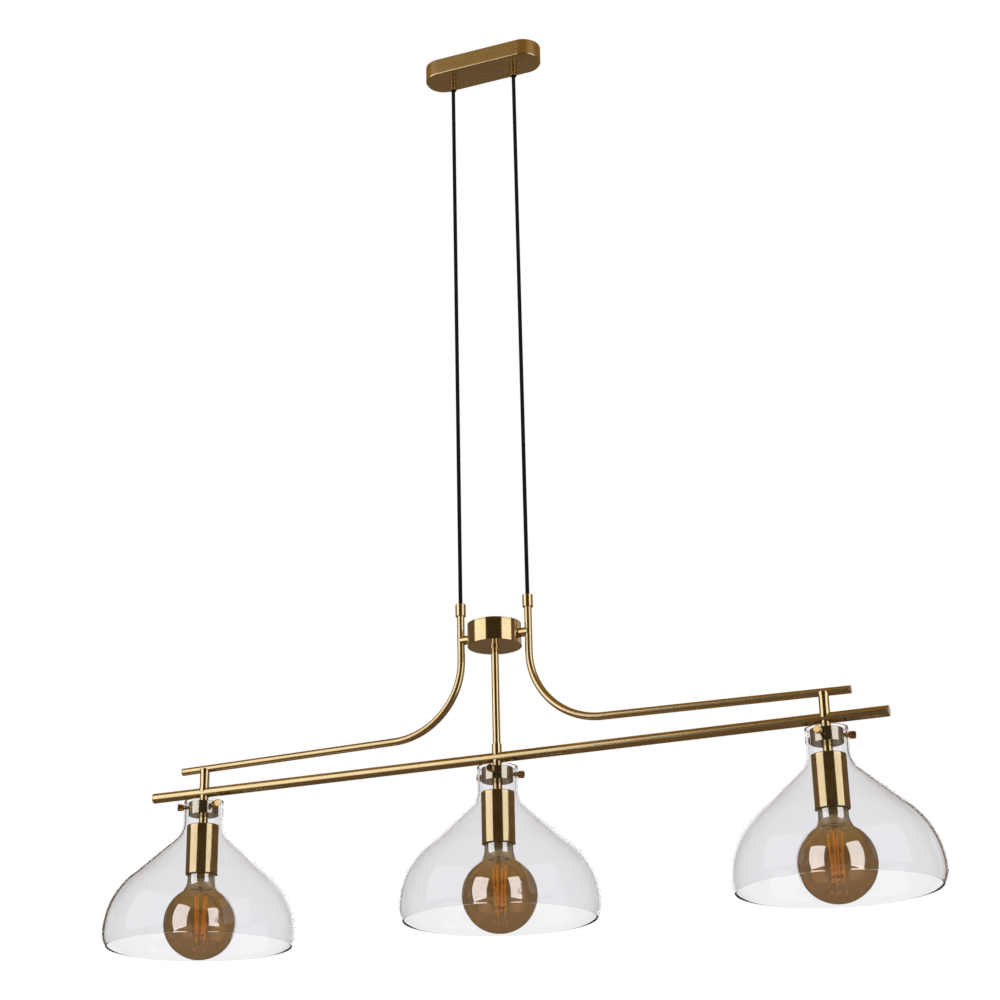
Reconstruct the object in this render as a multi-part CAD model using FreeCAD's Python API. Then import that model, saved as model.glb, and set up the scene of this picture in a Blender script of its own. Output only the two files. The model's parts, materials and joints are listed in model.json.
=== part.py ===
import FreeCAD, Part
import math
import os
from FreeCAD import Vector

# Three-light linear island pendant.
# Millimetres. z = 0 is the ceiling, +X runs along the bar, and everything hangs below.

# ---- Ceiling set ----
CANOPY_LENGTH = 175.0
CANOPY_WIDTH = 51.0
CANOPY_HEIGHT = 25.0
CANOPY_WALL = 1.2
CANOPY_EDGE = 0.7
BRACKET_LENGTH = 76.0
BRACKET_THICKNESS = 1.5
BRACKET_FLANGE = 13.0
CEILING_HOLE_SPACING = 60.0
CEILING_SLOT_WIDTH = 4.5
CEILING_SLOT_LENGTH = 10.0
SUPPLY_HOLE_DIA = 10.0
SUPPLY_HOLE_X = 14.0
BLOCK_SIZE = (24.0, 18.0, 12.5)
BLOCK_X = -8.0
BLOCK_BARREL_DIA = 5.0
CANOPY_SCREW_DIA = 4.0
CANOPY_SCREW_SPACING = 50.0
CANOPY_SCREW_DROP = 8.0
CANOPY_SCREW_HEAD_DIA = 7.5
CANOPY_SCREW_HEAD_HEIGHT = 2.2
CANOPY_SCREW_TIP = 1.0
CANOPY_SLOT_WIDTH = 1.0
CANOPY_SLOT_DEPTH = 0.9

# ---- Cords and their grips ----
CORD_DIA = 5.2
CORD_SPACING = 94.0
GRIP_DIA = 9.8
GRIP_LENGTH = 16.5
GRIP_NECK_DIA = 8.0
GRIP_NUT_FLATS = 11.0
GRIP_NUT_THICKNESS = 3.0
GRIP_NUT_PROUD = 1.5
GRIP_MOUTH_DIA = 8.0
GRIP_MOUTH_DEPTH = 4.0
CORD_TOP_INSET = 1.0
CORD_BREAK = 0.6
TAIL_BEND = 9.0
TAIL_RISE = 0.5
FERRULE_DIA = 14.0
FERRULE_LENGTH = 16.5
FERRULE_EDGE = 0.5
FERRULE_TUBE_DEPTH = 5.0
CORD_SEAT_DEPTH = 10.5

# ---- Frame: heights are above the centre line of the bar ----
BAR_DROP = 1038.0
BAR_LENGTH = 998.0
BAR_DIA = 13.5
BAR_WALL = 1.5
LAMP_SPACING = 422.0
CAP_THICKNESS = 2.0
SPIGOT_LENGTH = 8.0
FERRULE_TOP = 210.0
ARM_DIA = 10.0
ARM_WALL = 1.0
ARM_BEND = 97.0
ARM_BEND_START = 134.0
ARM_DROOP_DEG = 1.0
ARM_REACH = 456.0
PEG_DIA = 12.0
PEG_HEIGHT = 160.6
PEG_NECK_DIA = 8.0
PEG_BORE = 5.2
LINK_DIA = 13.0
DRUM_DIA = 70.5
DRUM_BELOW_PEGS = 14.1
DRUM_HEIGHT = 30.0
DRUM_WALL = 1.5
DRUM_LID = 2.0
LID_LIP_DEPTH = 3.0
LID_LIP_WALL = 1.2
LID_POST_DIA = 7.0
LID_POST_SPACING = 54.0
LID_SCREW_DIA = 3.0
LID_SCREW_HEAD_DIA = 5.6
LID_SCREW_HEAD_HEIGHT = 1.6
LID_SCREW_LENGTH = 8.0
LID_SCREW_TIP_GAP = 1.0
LID_SLOT_WIDTH = 0.8
LID_SLOT_DEPTH = 0.7
CONNECTOR_DIA = 9.0
CONNECTOR_HEIGHT = 16.0
CONNECTOR_CIRCLE = 36.0
CONNECTOR_TAPER = 1.2
CONNECTOR_TURNS_DEG = (90, 215, 325)
STEM_DIA = 10.0
STEM_WALL = 1.5
STEM_COLLAR_DIA = 12.5
STEM_COLLAR_THICKNESS = 3.0
STEM_SLEEVE_DIA = 12.6
STEM_SLEEVE_TOP = 17.6
DRUM_NUT_THICKNESS = 3.0
DRUM_NUT_PROUD = 1.5
STEM_NUT_FLATS = 14.0
PEG_NUT_FLATS = 11.0
WIRE_HOLE_DIA = 6.0

# ---- Lamps: drops are below the centre line of the bar ----
LAMP_TUBE_DIA = 12.0
LAMP_TUBE_WALL = 2.0
LAMP_TUBE_SEAT = 8.0
GALLERY_DIA = 40.0
GALLERY_TOP = 13.8
GALLERY_HEIGHT = 17.3
GALLERY_WALL = 4.0
GALLERY_FLOOR = 2.5
GALLERY_HUB_DIA = 18.0
GALLERY_EDGE = 1.0
CUP_DIA = 42.6
CUP_TOP = 44.4
CUP_HEIGHT = 65.0
CUP_WALL = 1.5
CUP_ROOF = 2.0
CUP_EDGE = 1.5
HOLDER_DIA = 38.8
HOLDER_HEIGHT = 57.6
SOCKET_DEPTH = 25.5
SOCKET_DIA = 27.0
SOCKET_METAL = 0.6
SOCKET_LENGTH = 22.0
CONTACT_DIA = 8.0
CONTACT_THICKNESS = 1.2

# ---- Bulb: screw cap of the 27 mm size, globe of the 95 mm size ----
BULB_DIA = 95.0
BULB_DROP = 172.7
BULB_LENGTH = 140.0
BULB_NECK_DIA = 36.6
BULB_NECK_FILLET = 20.0
BULB_SHOULDER = 5.5
BULB_GLASS = 0.8
CAP_DIA = 26.4
CAP_THREAD_DEPTH = 1.0
CAP_THREAD_PITCH = 3.6
CAP_HEIGHT = 25.8
CAP_SHOULDER = 5.0
CAP_TIP_DIA = 9.0
CAP_TIP_HEIGHT = 2.0
CAP_TIP_EDGE = 1.0
STICK_DIA = 2.6
STICK_TOP_RADIUS = 9.0
STICK_FOOT_RADIUS = 5.8
STICK_TOP_DROP = 135.0
STICK_LENGTH = 54.0
STICK_COUNT = 4
STICK_GAP = 0.15
BULB_STEM_DIA = 9.0
BULB_STEM_LENGTH = 22.0
BULB_ROD_DIA = 2.0
SPIDER_WIDTH = 1.0

# ---- Glass shade ----
SHADE_DIA = 250.6
SHADE_NECK_DIA = 52.0
SHADE_GLASS = 3.0
SHADE_TOP = 12.5
SHADE_WIDEST = 187.0
SHADE_LIP_DROP = 16.0
SHADE_LIP_BEND = 28.0
SHADE_SHOULDER_BEND = 100.0
SHADE_FLARE_DEG = 48.5
SHADE_NECK_BEND = 28.0

# ---- Thumbscrews: the angle of the first one on each lamp, as the photograph shows them ----
THUMB_DROP = 20.5
THUMB_THREAD_DIA = 4.0
THUMB_ENGAGED = 3.0
THUMB_CONE_DIA = 6.4
THUMB_FLANGE_DIA = 8.4
THUMB_FLANGE_THICKNESS = 1.0
THUMB_HEAD_DIA = 9.2
THUMB_HEAD_LENGTH = 7.4
THUMB_WAIST = 0.5
THUMB_INNER_EDGE = 0.4
THUMB_OUTER_EDGE = 0.6
THUMB_GROOVE_DIA = 0.9
THUMB_GROOVE_OUT = 0.15
THUMB_GROOVES = 18
THUMB_COUNT = 3
THUMB_FIRST_DEG = {"left": 90.0, "middle": 36.0, "right": 24.0}

# ---- Clearances ----
BRAZE_GAP = 0.15
FIT_GAP = 0.05
CORD_GAP = 0.2
HOLE_GAP = 0.2
LOOSE_GAP = 0.3
THREAD_GAP = 0.05
OVERRUN = 1.0
NEAR = 0.01

BAR_Z = -BAR_DROP
SIDES = {"left": -1, "right": 1}
LAMPS = {"left": -LAMP_SPACING, "middle": 0.0, "right": LAMP_SPACING}
HALF_CORDS = CORD_SPACING / 2
UP = Vector(0, 0, 1)
nodes = {}


def upright(radius, z_low, z_high, x=0.0, y=0.0):
    """A solid cylinder standing on z_low."""
    return Part.makeCylinder(radius, z_high - z_low, Vector(x, y, z_low))


def rod(radius, start, end):
    """A solid cylinder from one point to another."""
    run = end - start
    return Part.makeCylinder(radius, run.Length, start, run)


def pipe(outer, inner, z_low, z_high, x=0.0, y=0.0):
    """A standing tube, from its two radii."""
    return upright(outer, z_low, z_high, x, y).cut(upright(inner, z_low, z_high, x, y))


def box(x_low, x_high, y_low, y_high, z_low, z_high):
    """A box between two corners."""
    return Part.makeBox(x_high - x_low, y_high - y_low, z_high - z_low, Vector(x_low, y_low, z_low))


def obround(length, width, z_low, z_high, x=0.0):
    """A flat slab with half-round ends, long side along X."""
    half = (length - width) / 2
    slab = box(x - half, x + half, -width / 2, width / 2, z_low, z_high)
    for end in (-half, half):
        slab = slab.fuse(upright(width / 2, z_low, z_high, x + end))
    return slab.removeSplitter()


def hex_nut(flats, bore, thickness, centre, axis):
    """A six-sided nut whose lower face is centred on a point."""
    corner = flats / math.sqrt(3)
    points = []
    for step in range(7):
        turn = math.radians(60 * step)
        points.append(Vector(corner * math.cos(turn), corner * math.sin(turn), 0))
    body = Part.Face(Part.makePolygon(points)).extrude(Vector(0, 0, thickness))
    body = body.cut(upright(bore, 0, thickness))
    body.Placement = FreeCAD.Placement(centre, FreeCAD.Rotation(UP, axis))
    return body


def turned(outline, x):
    """A solid of revolution about the upright line at x, from edges drawn at y = 0."""
    face = Part.Face(Part.Wire(outline))
    return face.revolve(Vector(x, 0, 0), UP, 360)


def turned_polygon(points, x=0.0):
    """The same from plain corners, each a radius and a height."""
    corners = [Vector(x + r, 0, z) for r, z in points]
    corners.append(corners[0])
    return turned(Part.makePolygon(corners).Edges, x)


def bend(centre, radius, start_deg, end_deg):
    """An arc at y = 0 about a centre, between two angles."""
    places = []
    for angle in (start_deg, (start_deg + end_deg) / 2, end_deg):
        turn = math.radians(angle)
        places.append(centre + Vector(radius * math.cos(turn), 0, radius * math.sin(turn)))
    return Part.Arc(*places).toShape()


def line(start, end):
    return Part.LineSegment(start, end).toShape()


def edge_round(solid, size, z_height):
    """Round the circular outer edges that lie at one height."""
    picked = []
    widest = max(edge.BoundBox.XLength for edge in solid.Edges)
    for edge in solid.Edges:
        low = edge.BoundBox.ZMin
        level = abs(low - z_height) < NEAR and edge.BoundBox.ZLength < NEAR
        if level and edge.BoundBox.XLength > widest - NEAR:
            picked.append(edge)
    return solid.makeFillet(size, picked)


def keep(name, *solids):
    """Store a sub-part: one solid, or several of a kind."""
    nodes[name] = solids[0] if len(solids) == 1 else Part.makeCompound(list(solids))


# ---------------------------------------------------------------- ceiling set

canopy_floor = -CANOPY_HEIGHT + CANOPY_WALL
grip_bottom = -CANOPY_HEIGHT - GRIP_LENGTH
neck_top = canopy_floor + GRIP_NUT_THICKNESS + GRIP_NUT_PROUD
screw_y = CANOPY_WIDTH / 2
inner_half_width = CANOPY_WIDTH / 2 - CANOPY_WALL
flange_outer = inner_half_width - LOOSE_GAP


def canopy_cover():
    """Thin metal cover with half-round ends, open towards the ceiling."""
    outer = obround(CANOPY_LENGTH, CANOPY_WIDTH, -CANOPY_HEIGHT, 0)
    rim = []
    for edge in outer.Edges:
        if edge.BoundBox.ZMax < -CANOPY_HEIGHT + NEAR:
            rim.append(edge)
    outer = outer.makeFillet(CANOPY_EDGE, rim)
    hollow = obround(CANOPY_LENGTH - 2 * CANOPY_WALL, CANOPY_WIDTH - 2 * CANOPY_WALL, canopy_floor, 0)
    cover = outer.cut(hollow)
    for side in SIDES.values():
        x = side * HALF_CORDS
        cover = cover.cut(upright(GRIP_NECK_DIA / 2 + FIT_GAP, -CANOPY_HEIGHT, canopy_floor, x))
        x = side * CANOPY_SCREW_SPACING / 2
        inside = Vector(x, inner_half_width - OVERRUN, -CANOPY_SCREW_DROP)
        outside = Vector(x, screw_y + OVERRUN, -CANOPY_SCREW_DROP)
        hole = rod(CANOPY_SCREW_DIA / 2 + HOLE_GAP, inside, outside)
        cover = cover.cut(hole)
    return cover


def ceiling_bracket():
    """Folded steel channel screwed to the ceiling, with slots and a cable hole."""
    half = BRACKET_LENGTH / 2
    bracket = box(-half, half, -flange_outer, flange_outer, -BRACKET_THICKNESS, 0)
    for side in (-1, 1):
        inner = side * (flange_outer - BRACKET_THICKNESS)
        outer = side * flange_outer
        flange = box(-half, half, min(inner, outer), max(inner, outer), -BRACKET_FLANGE, 0)
        bracket = bracket.fuse(flange)
    bracket = bracket.removeSplitter()
    for side in SIDES.values():
        slot = obround(CEILING_SLOT_LENGTH, CEILING_SLOT_WIDTH, -BRACKET_THICKNESS, 0,
                       side * CEILING_HOLE_SPACING / 2)
        bracket = bracket.cut(slot)
        x = side * CANOPY_SCREW_SPACING / 2
        inside = Vector(x, flange_outer - BRACKET_THICKNESS - OVERRUN, -CANOPY_SCREW_DROP)
        outside = Vector(x, flange_outer + OVERRUN, -CANOPY_SCREW_DROP)
        hole = rod(CANOPY_SCREW_DIA / 2 + FIT_GAP, inside, outside)
        bracket = bracket.cut(hole)
    return bracket.cut(upright(SUPPLY_HOLE_DIA / 2, -BRACKET_THICKNESS, 0, SUPPLY_HOLE_X))


def canopy_screw(side):
    """Round-headed screw through the hidden long wall into the channel."""
    x = side * CANOPY_SCREW_SPACING / 2
    z = -CANOPY_SCREW_DROP
    tip = Vector(x, flange_outer - BRACKET_THICKNESS - CANOPY_SCREW_TIP, z)
    seat = Vector(x, screw_y, z)
    end = Vector(x, screw_y + CANOPY_SCREW_HEAD_HEIGHT, z)
    head = rod(CANOPY_SCREW_HEAD_DIA / 2, seat, end)
    rim = [edge for edge in head.Edges if edge.BoundBox.YMin > end.y - NEAR]
    head = head.makeFillet(CANOPY_SCREW_HEAD_HEIGHT / 2, rim)
    screw = head.fuse(rod(CANOPY_SCREW_DIA / 2, tip, seat))
    half = CANOPY_SLOT_WIDTH / 2
    slot = box(x - CANOPY_SCREW_HEAD_DIA, x + CANOPY_SCREW_HEAD_DIA,
               end.y - CANOPY_SLOT_DEPTH, end.y + OVERRUN, z - half, z + half)
    return screw.cut(slot)


def terminal_block():
    """Three-pole connector block under the bracket, with a barrel for each pole."""
    length, width, height = BLOCK_SIZE
    top = -BRACKET_THICKNESS
    low = BLOCK_X - length / 2
    block = box(low, low + length, -width / 2, width / 2, top - height, top)
    pole = width / 3
    for place in (-pole, 0, pole):
        barrel = rod(BLOCK_BARREL_DIA / 2, Vector(low, place, top - height),
                     Vector(low + length, place, top - height))
        block = block.fuse(barrel)
    return block.removeSplitter()


def cord_grip(side):
    """Turned sleeve below the canopy with a threaded neck; its mouth flares for the swinging cord."""
    x = side * HALF_CORDS
    bore = CORD_DIA / 2 + CORD_GAP
    outline = [
        (bore, neck_top),
        (GRIP_NECK_DIA / 2, neck_top),
        (GRIP_NECK_DIA / 2, -CANOPY_HEIGHT),
        (GRIP_DIA / 2, -CANOPY_HEIGHT),
        (GRIP_DIA / 2, grip_bottom),
        (GRIP_MOUTH_DIA / 2, grip_bottom),
        (bore, grip_bottom + GRIP_MOUTH_DEPTH),
    ]
    return turned_polygon(outline, x)


def cord_tail(side):
    """End of the cord from inside its grip, round to the connector block."""
    x = side * HALF_CORDS
    z_low = grip_bottom + CORD_TOP_INSET + CORD_BREAK
    z_bend = neck_top + TAIL_RISE
    z_run = z_bend + TAIL_BEND
    block_face = BLOCK_X + side * BLOCK_SIZE[0] / 2
    foot = Vector(x, 0, z_low)
    centre = Vector(x - side * TAIL_BEND, 0, z_bend)
    start_deg, end_deg = (0, 90) if side > 0 else (180, 90)
    path = Part.Wire([
        line(foot, Vector(x, 0, z_bend)),
        bend(centre, TAIL_BEND, start_deg, end_deg),
        line(Vector(centre.x, 0, z_run), Vector(block_face, 0, z_run)),
    ])
    profile = Part.Wire(Part.makeCircle(CORD_DIA / 2, foot, UP))
    return path.makePipeShell([profile], True, False)


keep("canopy_cover", canopy_cover())
keep("ceiling_bracket", ceiling_bracket())
keep("canopy_screws", *[canopy_screw(side) for side in SIDES.values()])
keep("terminal_block", terminal_block())
keep("cord_grips", *[cord_grip(side) for side in SIDES.values()])
keep("grip_nuts", *[hex_nut(GRIP_NUT_FLATS, GRIP_NECK_DIA / 2 + FIT_GAP, GRIP_NUT_THICKNESS,
                            Vector(side * HALF_CORDS, 0, canopy_floor), UP) for side in SIDES.values()])
keep("cord_tails", *[cord_tail(side) for side in SIDES.values()])

# ---------------------------------------------------------------- cords

ferrule_top = BAR_Z + FERRULE_TOP
cord_top = grip_bottom + CORD_TOP_INSET
cord_foot = ferrule_top - CORD_SEAT_DEPTH

for name, side in SIDES.items():
    keep("cord_" + name, upright(CORD_DIA / 2, cord_foot, cord_top, side * HALF_CORDS))

# ---------------------------------------------------------------- frame

droop = math.radians(ARM_DROOP_DEG)
arm_bend_z = BAR_Z + ARM_BEND_START
peg_z = BAR_Z + PEG_HEIGHT
drum_z = peg_z - DRUM_BELOW_PEGS
drum_top = drum_z + DRUM_HEIGHT
drum_floor = drum_z + DRUM_WALL
drum_inner = DRUM_DIA / 2 - DRUM_WALL
bar_cut = rod(BAR_DIA / 2 + BRAZE_GAP, Vector(-BAR_LENGTH / 2, 0, BAR_Z), Vector(BAR_LENGTH / 2, 0, BAR_Z))
arm_along = Vector(math.cos(droop), 0, -math.sin(droop))
arm_tube_end = ARM_REACH - CAP_THICKNESS * math.cos(droop)


def mirrored(point, side):
    return Vector(side * point.x, point.y, point.z)


def arm_path_points():
    """Ends of the right arm's bend, and the end of its straight run."""
    turn = math.pi / 2 - droop
    bend_end = Vector(HALF_CORDS + ARM_BEND * (1 - math.cos(turn)), 0, arm_bend_z - ARM_BEND * math.sin(turn))
    run_end = bend_end + arm_along * ((arm_tube_end - bend_end.x) / math.cos(droop))
    return bend_end, run_end


def arm_rod(side, radius):
    """The arm's route as a solid rod: down from the ferrule, round the bend and out over the lamp."""
    bend_end, run_end = arm_path_points()
    top = Vector(HALF_CORDS, 0, ferrule_top - FERRULE_LENGTH + FERRULE_TUBE_DEPTH)
    bend_start = Vector(HALF_CORDS, 0, arm_bend_z)
    turn = (math.pi / 2 - droop) / 2
    half_way = Vector(HALF_CORDS + ARM_BEND * (1 - math.cos(turn)), 0, arm_bend_z - ARM_BEND * math.sin(turn))
    top, bend_start, half_way, bend_end, run_end = [
        mirrored(point, side) for point in (top, bend_start, half_way, bend_end, run_end)]
    path = Part.Wire([
        line(top, bend_start),
        Part.Arc(bend_start, half_way, bend_end).toShape(),
        line(bend_end, run_end),
    ])
    profile = Part.Wire(Part.makeCircle(radius, top, UP))
    return path.makePipeShell([profile], True, False)


def arm(side):
    """Bent tube, with a wire hole where it meets its peg."""
    tube = arm_rod(side, ARM_DIA / 2).cut(arm_rod(side, ARM_DIA / 2 - ARM_WALL))
    wire_hole = rod(PEG_BORE / 2, Vector(side * HALF_CORDS, 0, peg_z),
                    Vector(side * (HALF_CORDS - ARM_DIA), 0, peg_z))
    return tube.cut(wire_hole)


def tube_cap(start, along, radius, spigot_radius):
    """Plug in a tube's end: a disc as wide as the tube and a spigot inside it."""
    disc = rod(radius, start, start + along * CAP_THICKNESS)
    return disc.fuse(rod(spigot_radius, start - along * SPIGOT_LENGTH, start)).removeSplitter()


def arm_cap(side):
    _, run_end = arm_path_points()
    along = mirrored(arm_along, side)
    return tube_cap(mirrored(run_end, side), along, ARM_DIA / 2, ARM_DIA / 2 - ARM_WALL - FIT_GAP)


def bar_cap(side):
    start = Vector(side * (BAR_LENGTH / 2 - CAP_THICKNESS), 0, BAR_Z)
    return tube_cap(start, Vector(side, 0, 0), BAR_DIA / 2, BAR_DIA / 2 - BAR_WALL - FIT_GAP)


def ferrule(side):
    """Turned cap that joins a cord to the top of an arm."""
    x = side * HALF_CORDS
    low = ferrule_top - FERRULE_LENGTH
    body = upright(FERRULE_DIA / 2, low, ferrule_top, x)
    body = body.makeChamfer(FERRULE_EDGE, [edge for edge in body.Edges if edge.BoundBox.ZLength < NEAR])
    body = body.cut(upright(CORD_DIA / 2 + CORD_GAP, low, ferrule_top, x))
    return body.cut(upright(ARM_DIA / 2 + FIT_GAP, low, low + FERRULE_TUBE_DEPTH, x))


def arm_peg(side):
    """Short hollow bush between the drum's wall and an arm, with a threaded neck inside the drum."""
    neck_end = drum_inner - DRUM_NUT_THICKNESS - DRUM_NUT_PROUD
    wall = DRUM_DIA / 2
    body = rod(PEG_DIA / 2, Vector(0, 0, peg_z), Vector(side * HALF_CORDS, 0, peg_z))
    body = body.cut(upright(wall + BRAZE_GAP, peg_z - PEG_DIA, peg_z + PEG_DIA))
    body = body.cut(upright(ARM_DIA / 2 + BRAZE_GAP, peg_z - PEG_DIA, peg_z + PEG_DIA, side * HALF_CORDS))
    neck = rod(PEG_NECK_DIA / 2, Vector(side * neck_end, 0, peg_z),
               Vector(side * (wall + OVERRUN), 0, peg_z))
    bore = rod(PEG_BORE / 2, Vector(side * (neck_end - OVERRUN), 0, peg_z),
               Vector(side * HALF_CORDS, 0, peg_z))
    return body.fuse(neck).cut(bore).removeSplitter()


def drum_body():
    """Round wiring box, open at the top, with two posts for the lid's screws."""
    body = upright(DRUM_DIA / 2, drum_z, drum_top - DRUM_LID)
    body = body.cut(upright(drum_inner, drum_floor, drum_top))
    for side in (-1, 1):
        y = side * LID_POST_SPACING / 2
        post = upright(LID_POST_DIA / 2, drum_z, drum_top - DRUM_LID, 0, y)
        body = body.fuse(post)
        body = body.cut(upright(LID_SCREW_DIA / 2 + FIT_GAP, drum_top - DRUM_LID - LID_SCREW_LENGTH,
                                drum_top, 0, y))
        hole = rod(PEG_NECK_DIA / 2 + FIT_GAP, Vector(side * (drum_inner - OVERRUN), 0, peg_z),
                   Vector(side * (DRUM_DIA / 2 + OVERRUN), 0, peg_z))
        body = body.cut(hole)
    return body.cut(upright(STEM_DIA / 2 + FIT_GAP, drum_z, drum_floor)).removeSplitter()


def drum_lid():
    """Flat lid with a lip that centres it in the drum."""
    lid = upright(DRUM_DIA / 2, drum_top - DRUM_LID, drum_top)
    lip_outer = drum_inner - HOLE_GAP
    lip = pipe(lip_outer, lip_outer - LID_LIP_WALL, drum_top - DRUM_LID - LID_LIP_DEPTH, drum_top - DRUM_LID)
    lid = lid.fuse(lip)
    for side in (-1, 1):
        y = side * LID_POST_SPACING / 2
        lid = lid.cut(upright(LID_SCREW_DIA / 2 + FIT_GAP, drum_top - DRUM_LID, drum_top, 0, y))
    return lid.removeSplitter()


def lid_screw(side):
    y = side * LID_POST_SPACING / 2
    head = upright(LID_SCREW_HEAD_DIA / 2, drum_top, drum_top + LID_SCREW_HEAD_HEIGHT, 0, y)
    tip = drum_top - DRUM_LID - LID_SCREW_LENGTH + LID_SCREW_TIP_GAP
    screw = head.fuse(upright(LID_SCREW_DIA / 2, tip, drum_top, 0, y))
    top = drum_top + LID_SCREW_HEAD_HEIGHT
    half = LID_SLOT_WIDTH / 2
    slot = box(-LID_SCREW_HEAD_DIA, LID_SCREW_HEAD_DIA, y - half, y + half, top - LID_SLOT_DEPTH, top)
    return screw.cut(slot)


def wire_connector(turn_deg):
    """Twist-on wire cap standing on the drum's floor."""
    turn = math.radians(turn_deg)
    place = Vector(CONNECTOR_CIRCLE / 2 * math.cos(turn), CONNECTOR_CIRCLE / 2 * math.sin(turn), drum_floor)
    return Part.makeCone(CONNECTOR_DIA / 2, CONNECTOR_DIA / 2 - CONNECTOR_TAPER, CONNECTOR_HEIGHT, place)


def centre_stem():
    """Tube from inside the drum down to the bar."""
    top = drum_floor + DRUM_NUT_THICKNESS + DRUM_NUT_PROUD
    return pipe(STEM_DIA / 2, STEM_DIA / 2 - STEM_WALL, BAR_Z, top).cut(bar_cut)


def stem_sleeve():
    """Short sleeve round the foot of the stem, seated on the bar."""
    sleeve = pipe(STEM_SLEEVE_DIA / 2, STEM_DIA / 2 + FIT_GAP, BAR_Z, BAR_Z + STEM_SLEEVE_TOP)
    return sleeve.cut(bar_cut)


def drum_nuts():
    """Lock nuts inside the drum: one on the stem, one on each peg's neck."""
    nuts = [hex_nut(STEM_NUT_FLATS, STEM_DIA / 2 + FIT_GAP, DRUM_NUT_THICKNESS, Vector(0, 0, drum_floor), UP)]
    corner = PEG_NUT_FLATS / math.sqrt(3)
    face = math.sqrt(drum_inner ** 2 - corner ** 2) - BRAZE_GAP
    for side in SIDES.values():
        inward = Vector(-side, 0, 0)
        nuts.append(hex_nut(PEG_NUT_FLATS, PEG_NECK_DIA / 2 + FIT_GAP, DRUM_NUT_THICKNESS,
                            Vector(side * face, 0, peg_z), inward))
    return nuts


def main_bar():
    """Long tube with a wire hole on top for the stem and one below for each lamp."""
    half = BAR_LENGTH / 2 - CAP_THICKNESS
    start = Vector(-half, 0, BAR_Z)
    end = Vector(half, 0, BAR_Z)
    bar = rod(BAR_DIA / 2, start, end).cut(rod(BAR_DIA / 2 - BAR_WALL, start, end))
    for x in LAMPS.values():
        bar = bar.cut(upright(WIRE_HOLE_DIA / 2, BAR_Z - BAR_DIA, BAR_Z, x))
    return bar.cut(upright(WIRE_HOLE_DIA / 2, BAR_Z, BAR_Z + BAR_DIA))


def tube_link(side):
    """Upright bush between the bar and an arm, hollowed at both ends to fit the tubes."""
    bend_end, _ = arm_path_points()
    arm_z = bend_end.z - (LAMP_SPACING - bend_end.x) * math.tan(droop)
    body = upright(LINK_DIA / 2, BAR_Z, arm_z, side * LAMP_SPACING).cut(bar_cut)
    return body.cut(arm_rod(side, ARM_DIA / 2 + BRAZE_GAP))


keep("ferrules", *[ferrule(side) for side in SIDES.values()])
keep("arm_left", arm(SIDES["left"]))
keep("arm_right", arm(SIDES["right"]))
keep("arm_pegs", *[arm_peg(side) for side in SIDES.values()])
keep("arm_end_plugs", *[arm_cap(side) for side in SIDES.values()])
keep("drum_body", drum_body())
keep("drum_lid", drum_lid())
keep("drum_lid_screws", *[lid_screw(side) for side in (-1, 1)])
keep("drum_nuts", *drum_nuts())
keep("wire_connectors", *[wire_connector(turn) for turn in CONNECTOR_TURNS_DEG])
keep("centre_stem", centre_stem())
keep("stem_collar", pipe(STEM_COLLAR_DIA / 2, STEM_DIA / 2 + FIT_GAP, drum_z - STEM_COLLAR_THICKNESS, drum_z))
keep("stem_sleeve", stem_sleeve())
keep("main_bar", main_bar())
keep("bar_end_plugs", *[bar_cap(side) for side in SIDES.values()])
keep("tube_links", *[tube_link(side) for side in SIDES.values()])

# ---------------------------------------------------------------- lamps

cup_top = BAR_Z - CUP_TOP
cup_bottom = cup_top - CUP_HEIGHT
holder_top = cup_top - CUP_ROOF
holder_bottom = holder_top - HOLDER_HEIGHT
socket_roof = holder_bottom + SOCKET_DEPTH
gallery_top = BAR_Z - GALLERY_TOP
gallery_bottom = gallery_top - GALLERY_HEIGHT
thumb_z = BAR_Z - THUMB_DROP
neck_radius = SHADE_NECK_DIA / 2
thumb_seat = neck_radius + LOOSE_GAP


def thumb_angles(lamp):
    return [THUMB_FIRST_DEG[lamp] + 360 / THUMB_COUNT * step for step in range(THUMB_COUNT)]


def spoke(angle_deg, radius, near, far, x):
    """A level rod that points away from a lamp's axis, at the thumbscrews' height."""
    turn = math.radians(angle_deg)
    out = Vector(math.cos(turn), math.sin(turn), 0)
    hub = Vector(x, 0, thumb_z)
    return rod(radius, hub + out * near, hub + out * far)


def lamp_tube(x):
    """Threaded tube from the bar through the gallery into the lampholder."""
    tube = pipe(LAMP_TUBE_DIA / 2, LAMP_TUBE_DIA / 2 - LAMP_TUBE_WALL, holder_top - LAMP_TUBE_SEAT, BAR_Z, x)
    return tube.cut(bar_cut)


def gallery(lamp, x):
    """Turned dish that carries the shade: flat below, recessed above, with three threaded holes."""
    body = upright(GALLERY_DIA / 2, gallery_bottom, gallery_top, x)
    body = edge_round(body, GALLERY_EDGE, gallery_bottom)
    recess = pipe(GALLERY_DIA / 2 - GALLERY_WALL, GALLERY_HUB_DIA / 2, gallery_bottom + GALLERY_FLOOR,
                  gallery_top, x)
    body = body.cut(recess)
    body = body.cut(upright(LAMP_TUBE_DIA / 2 + FIT_GAP, gallery_bottom, gallery_top, x))
    for angle in thumb_angles(lamp):
        hole = spoke(angle, THUMB_THREAD_DIA / 2 + THREAD_GAP, GALLERY_DIA / 2 - GALLERY_WALL - OVERRUN,
                     GALLERY_DIA / 2 + OVERRUN, x)
        body = body.cut(hole)
    return body


def lamp_cup(x):
    """Long plain cup over the lampholder, open below."""
    body = upright(CUP_DIA / 2, cup_bottom, cup_top, x)
    body = edge_round(body, CUP_EDGE, cup_top)
    body = body.cut(upright(CUP_DIA / 2 - CUP_WALL, cup_bottom, holder_top, x))
    return body.cut(upright(LAMP_TUBE_DIA / 2 + FIT_GAP, holder_top, cup_top, x))


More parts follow.
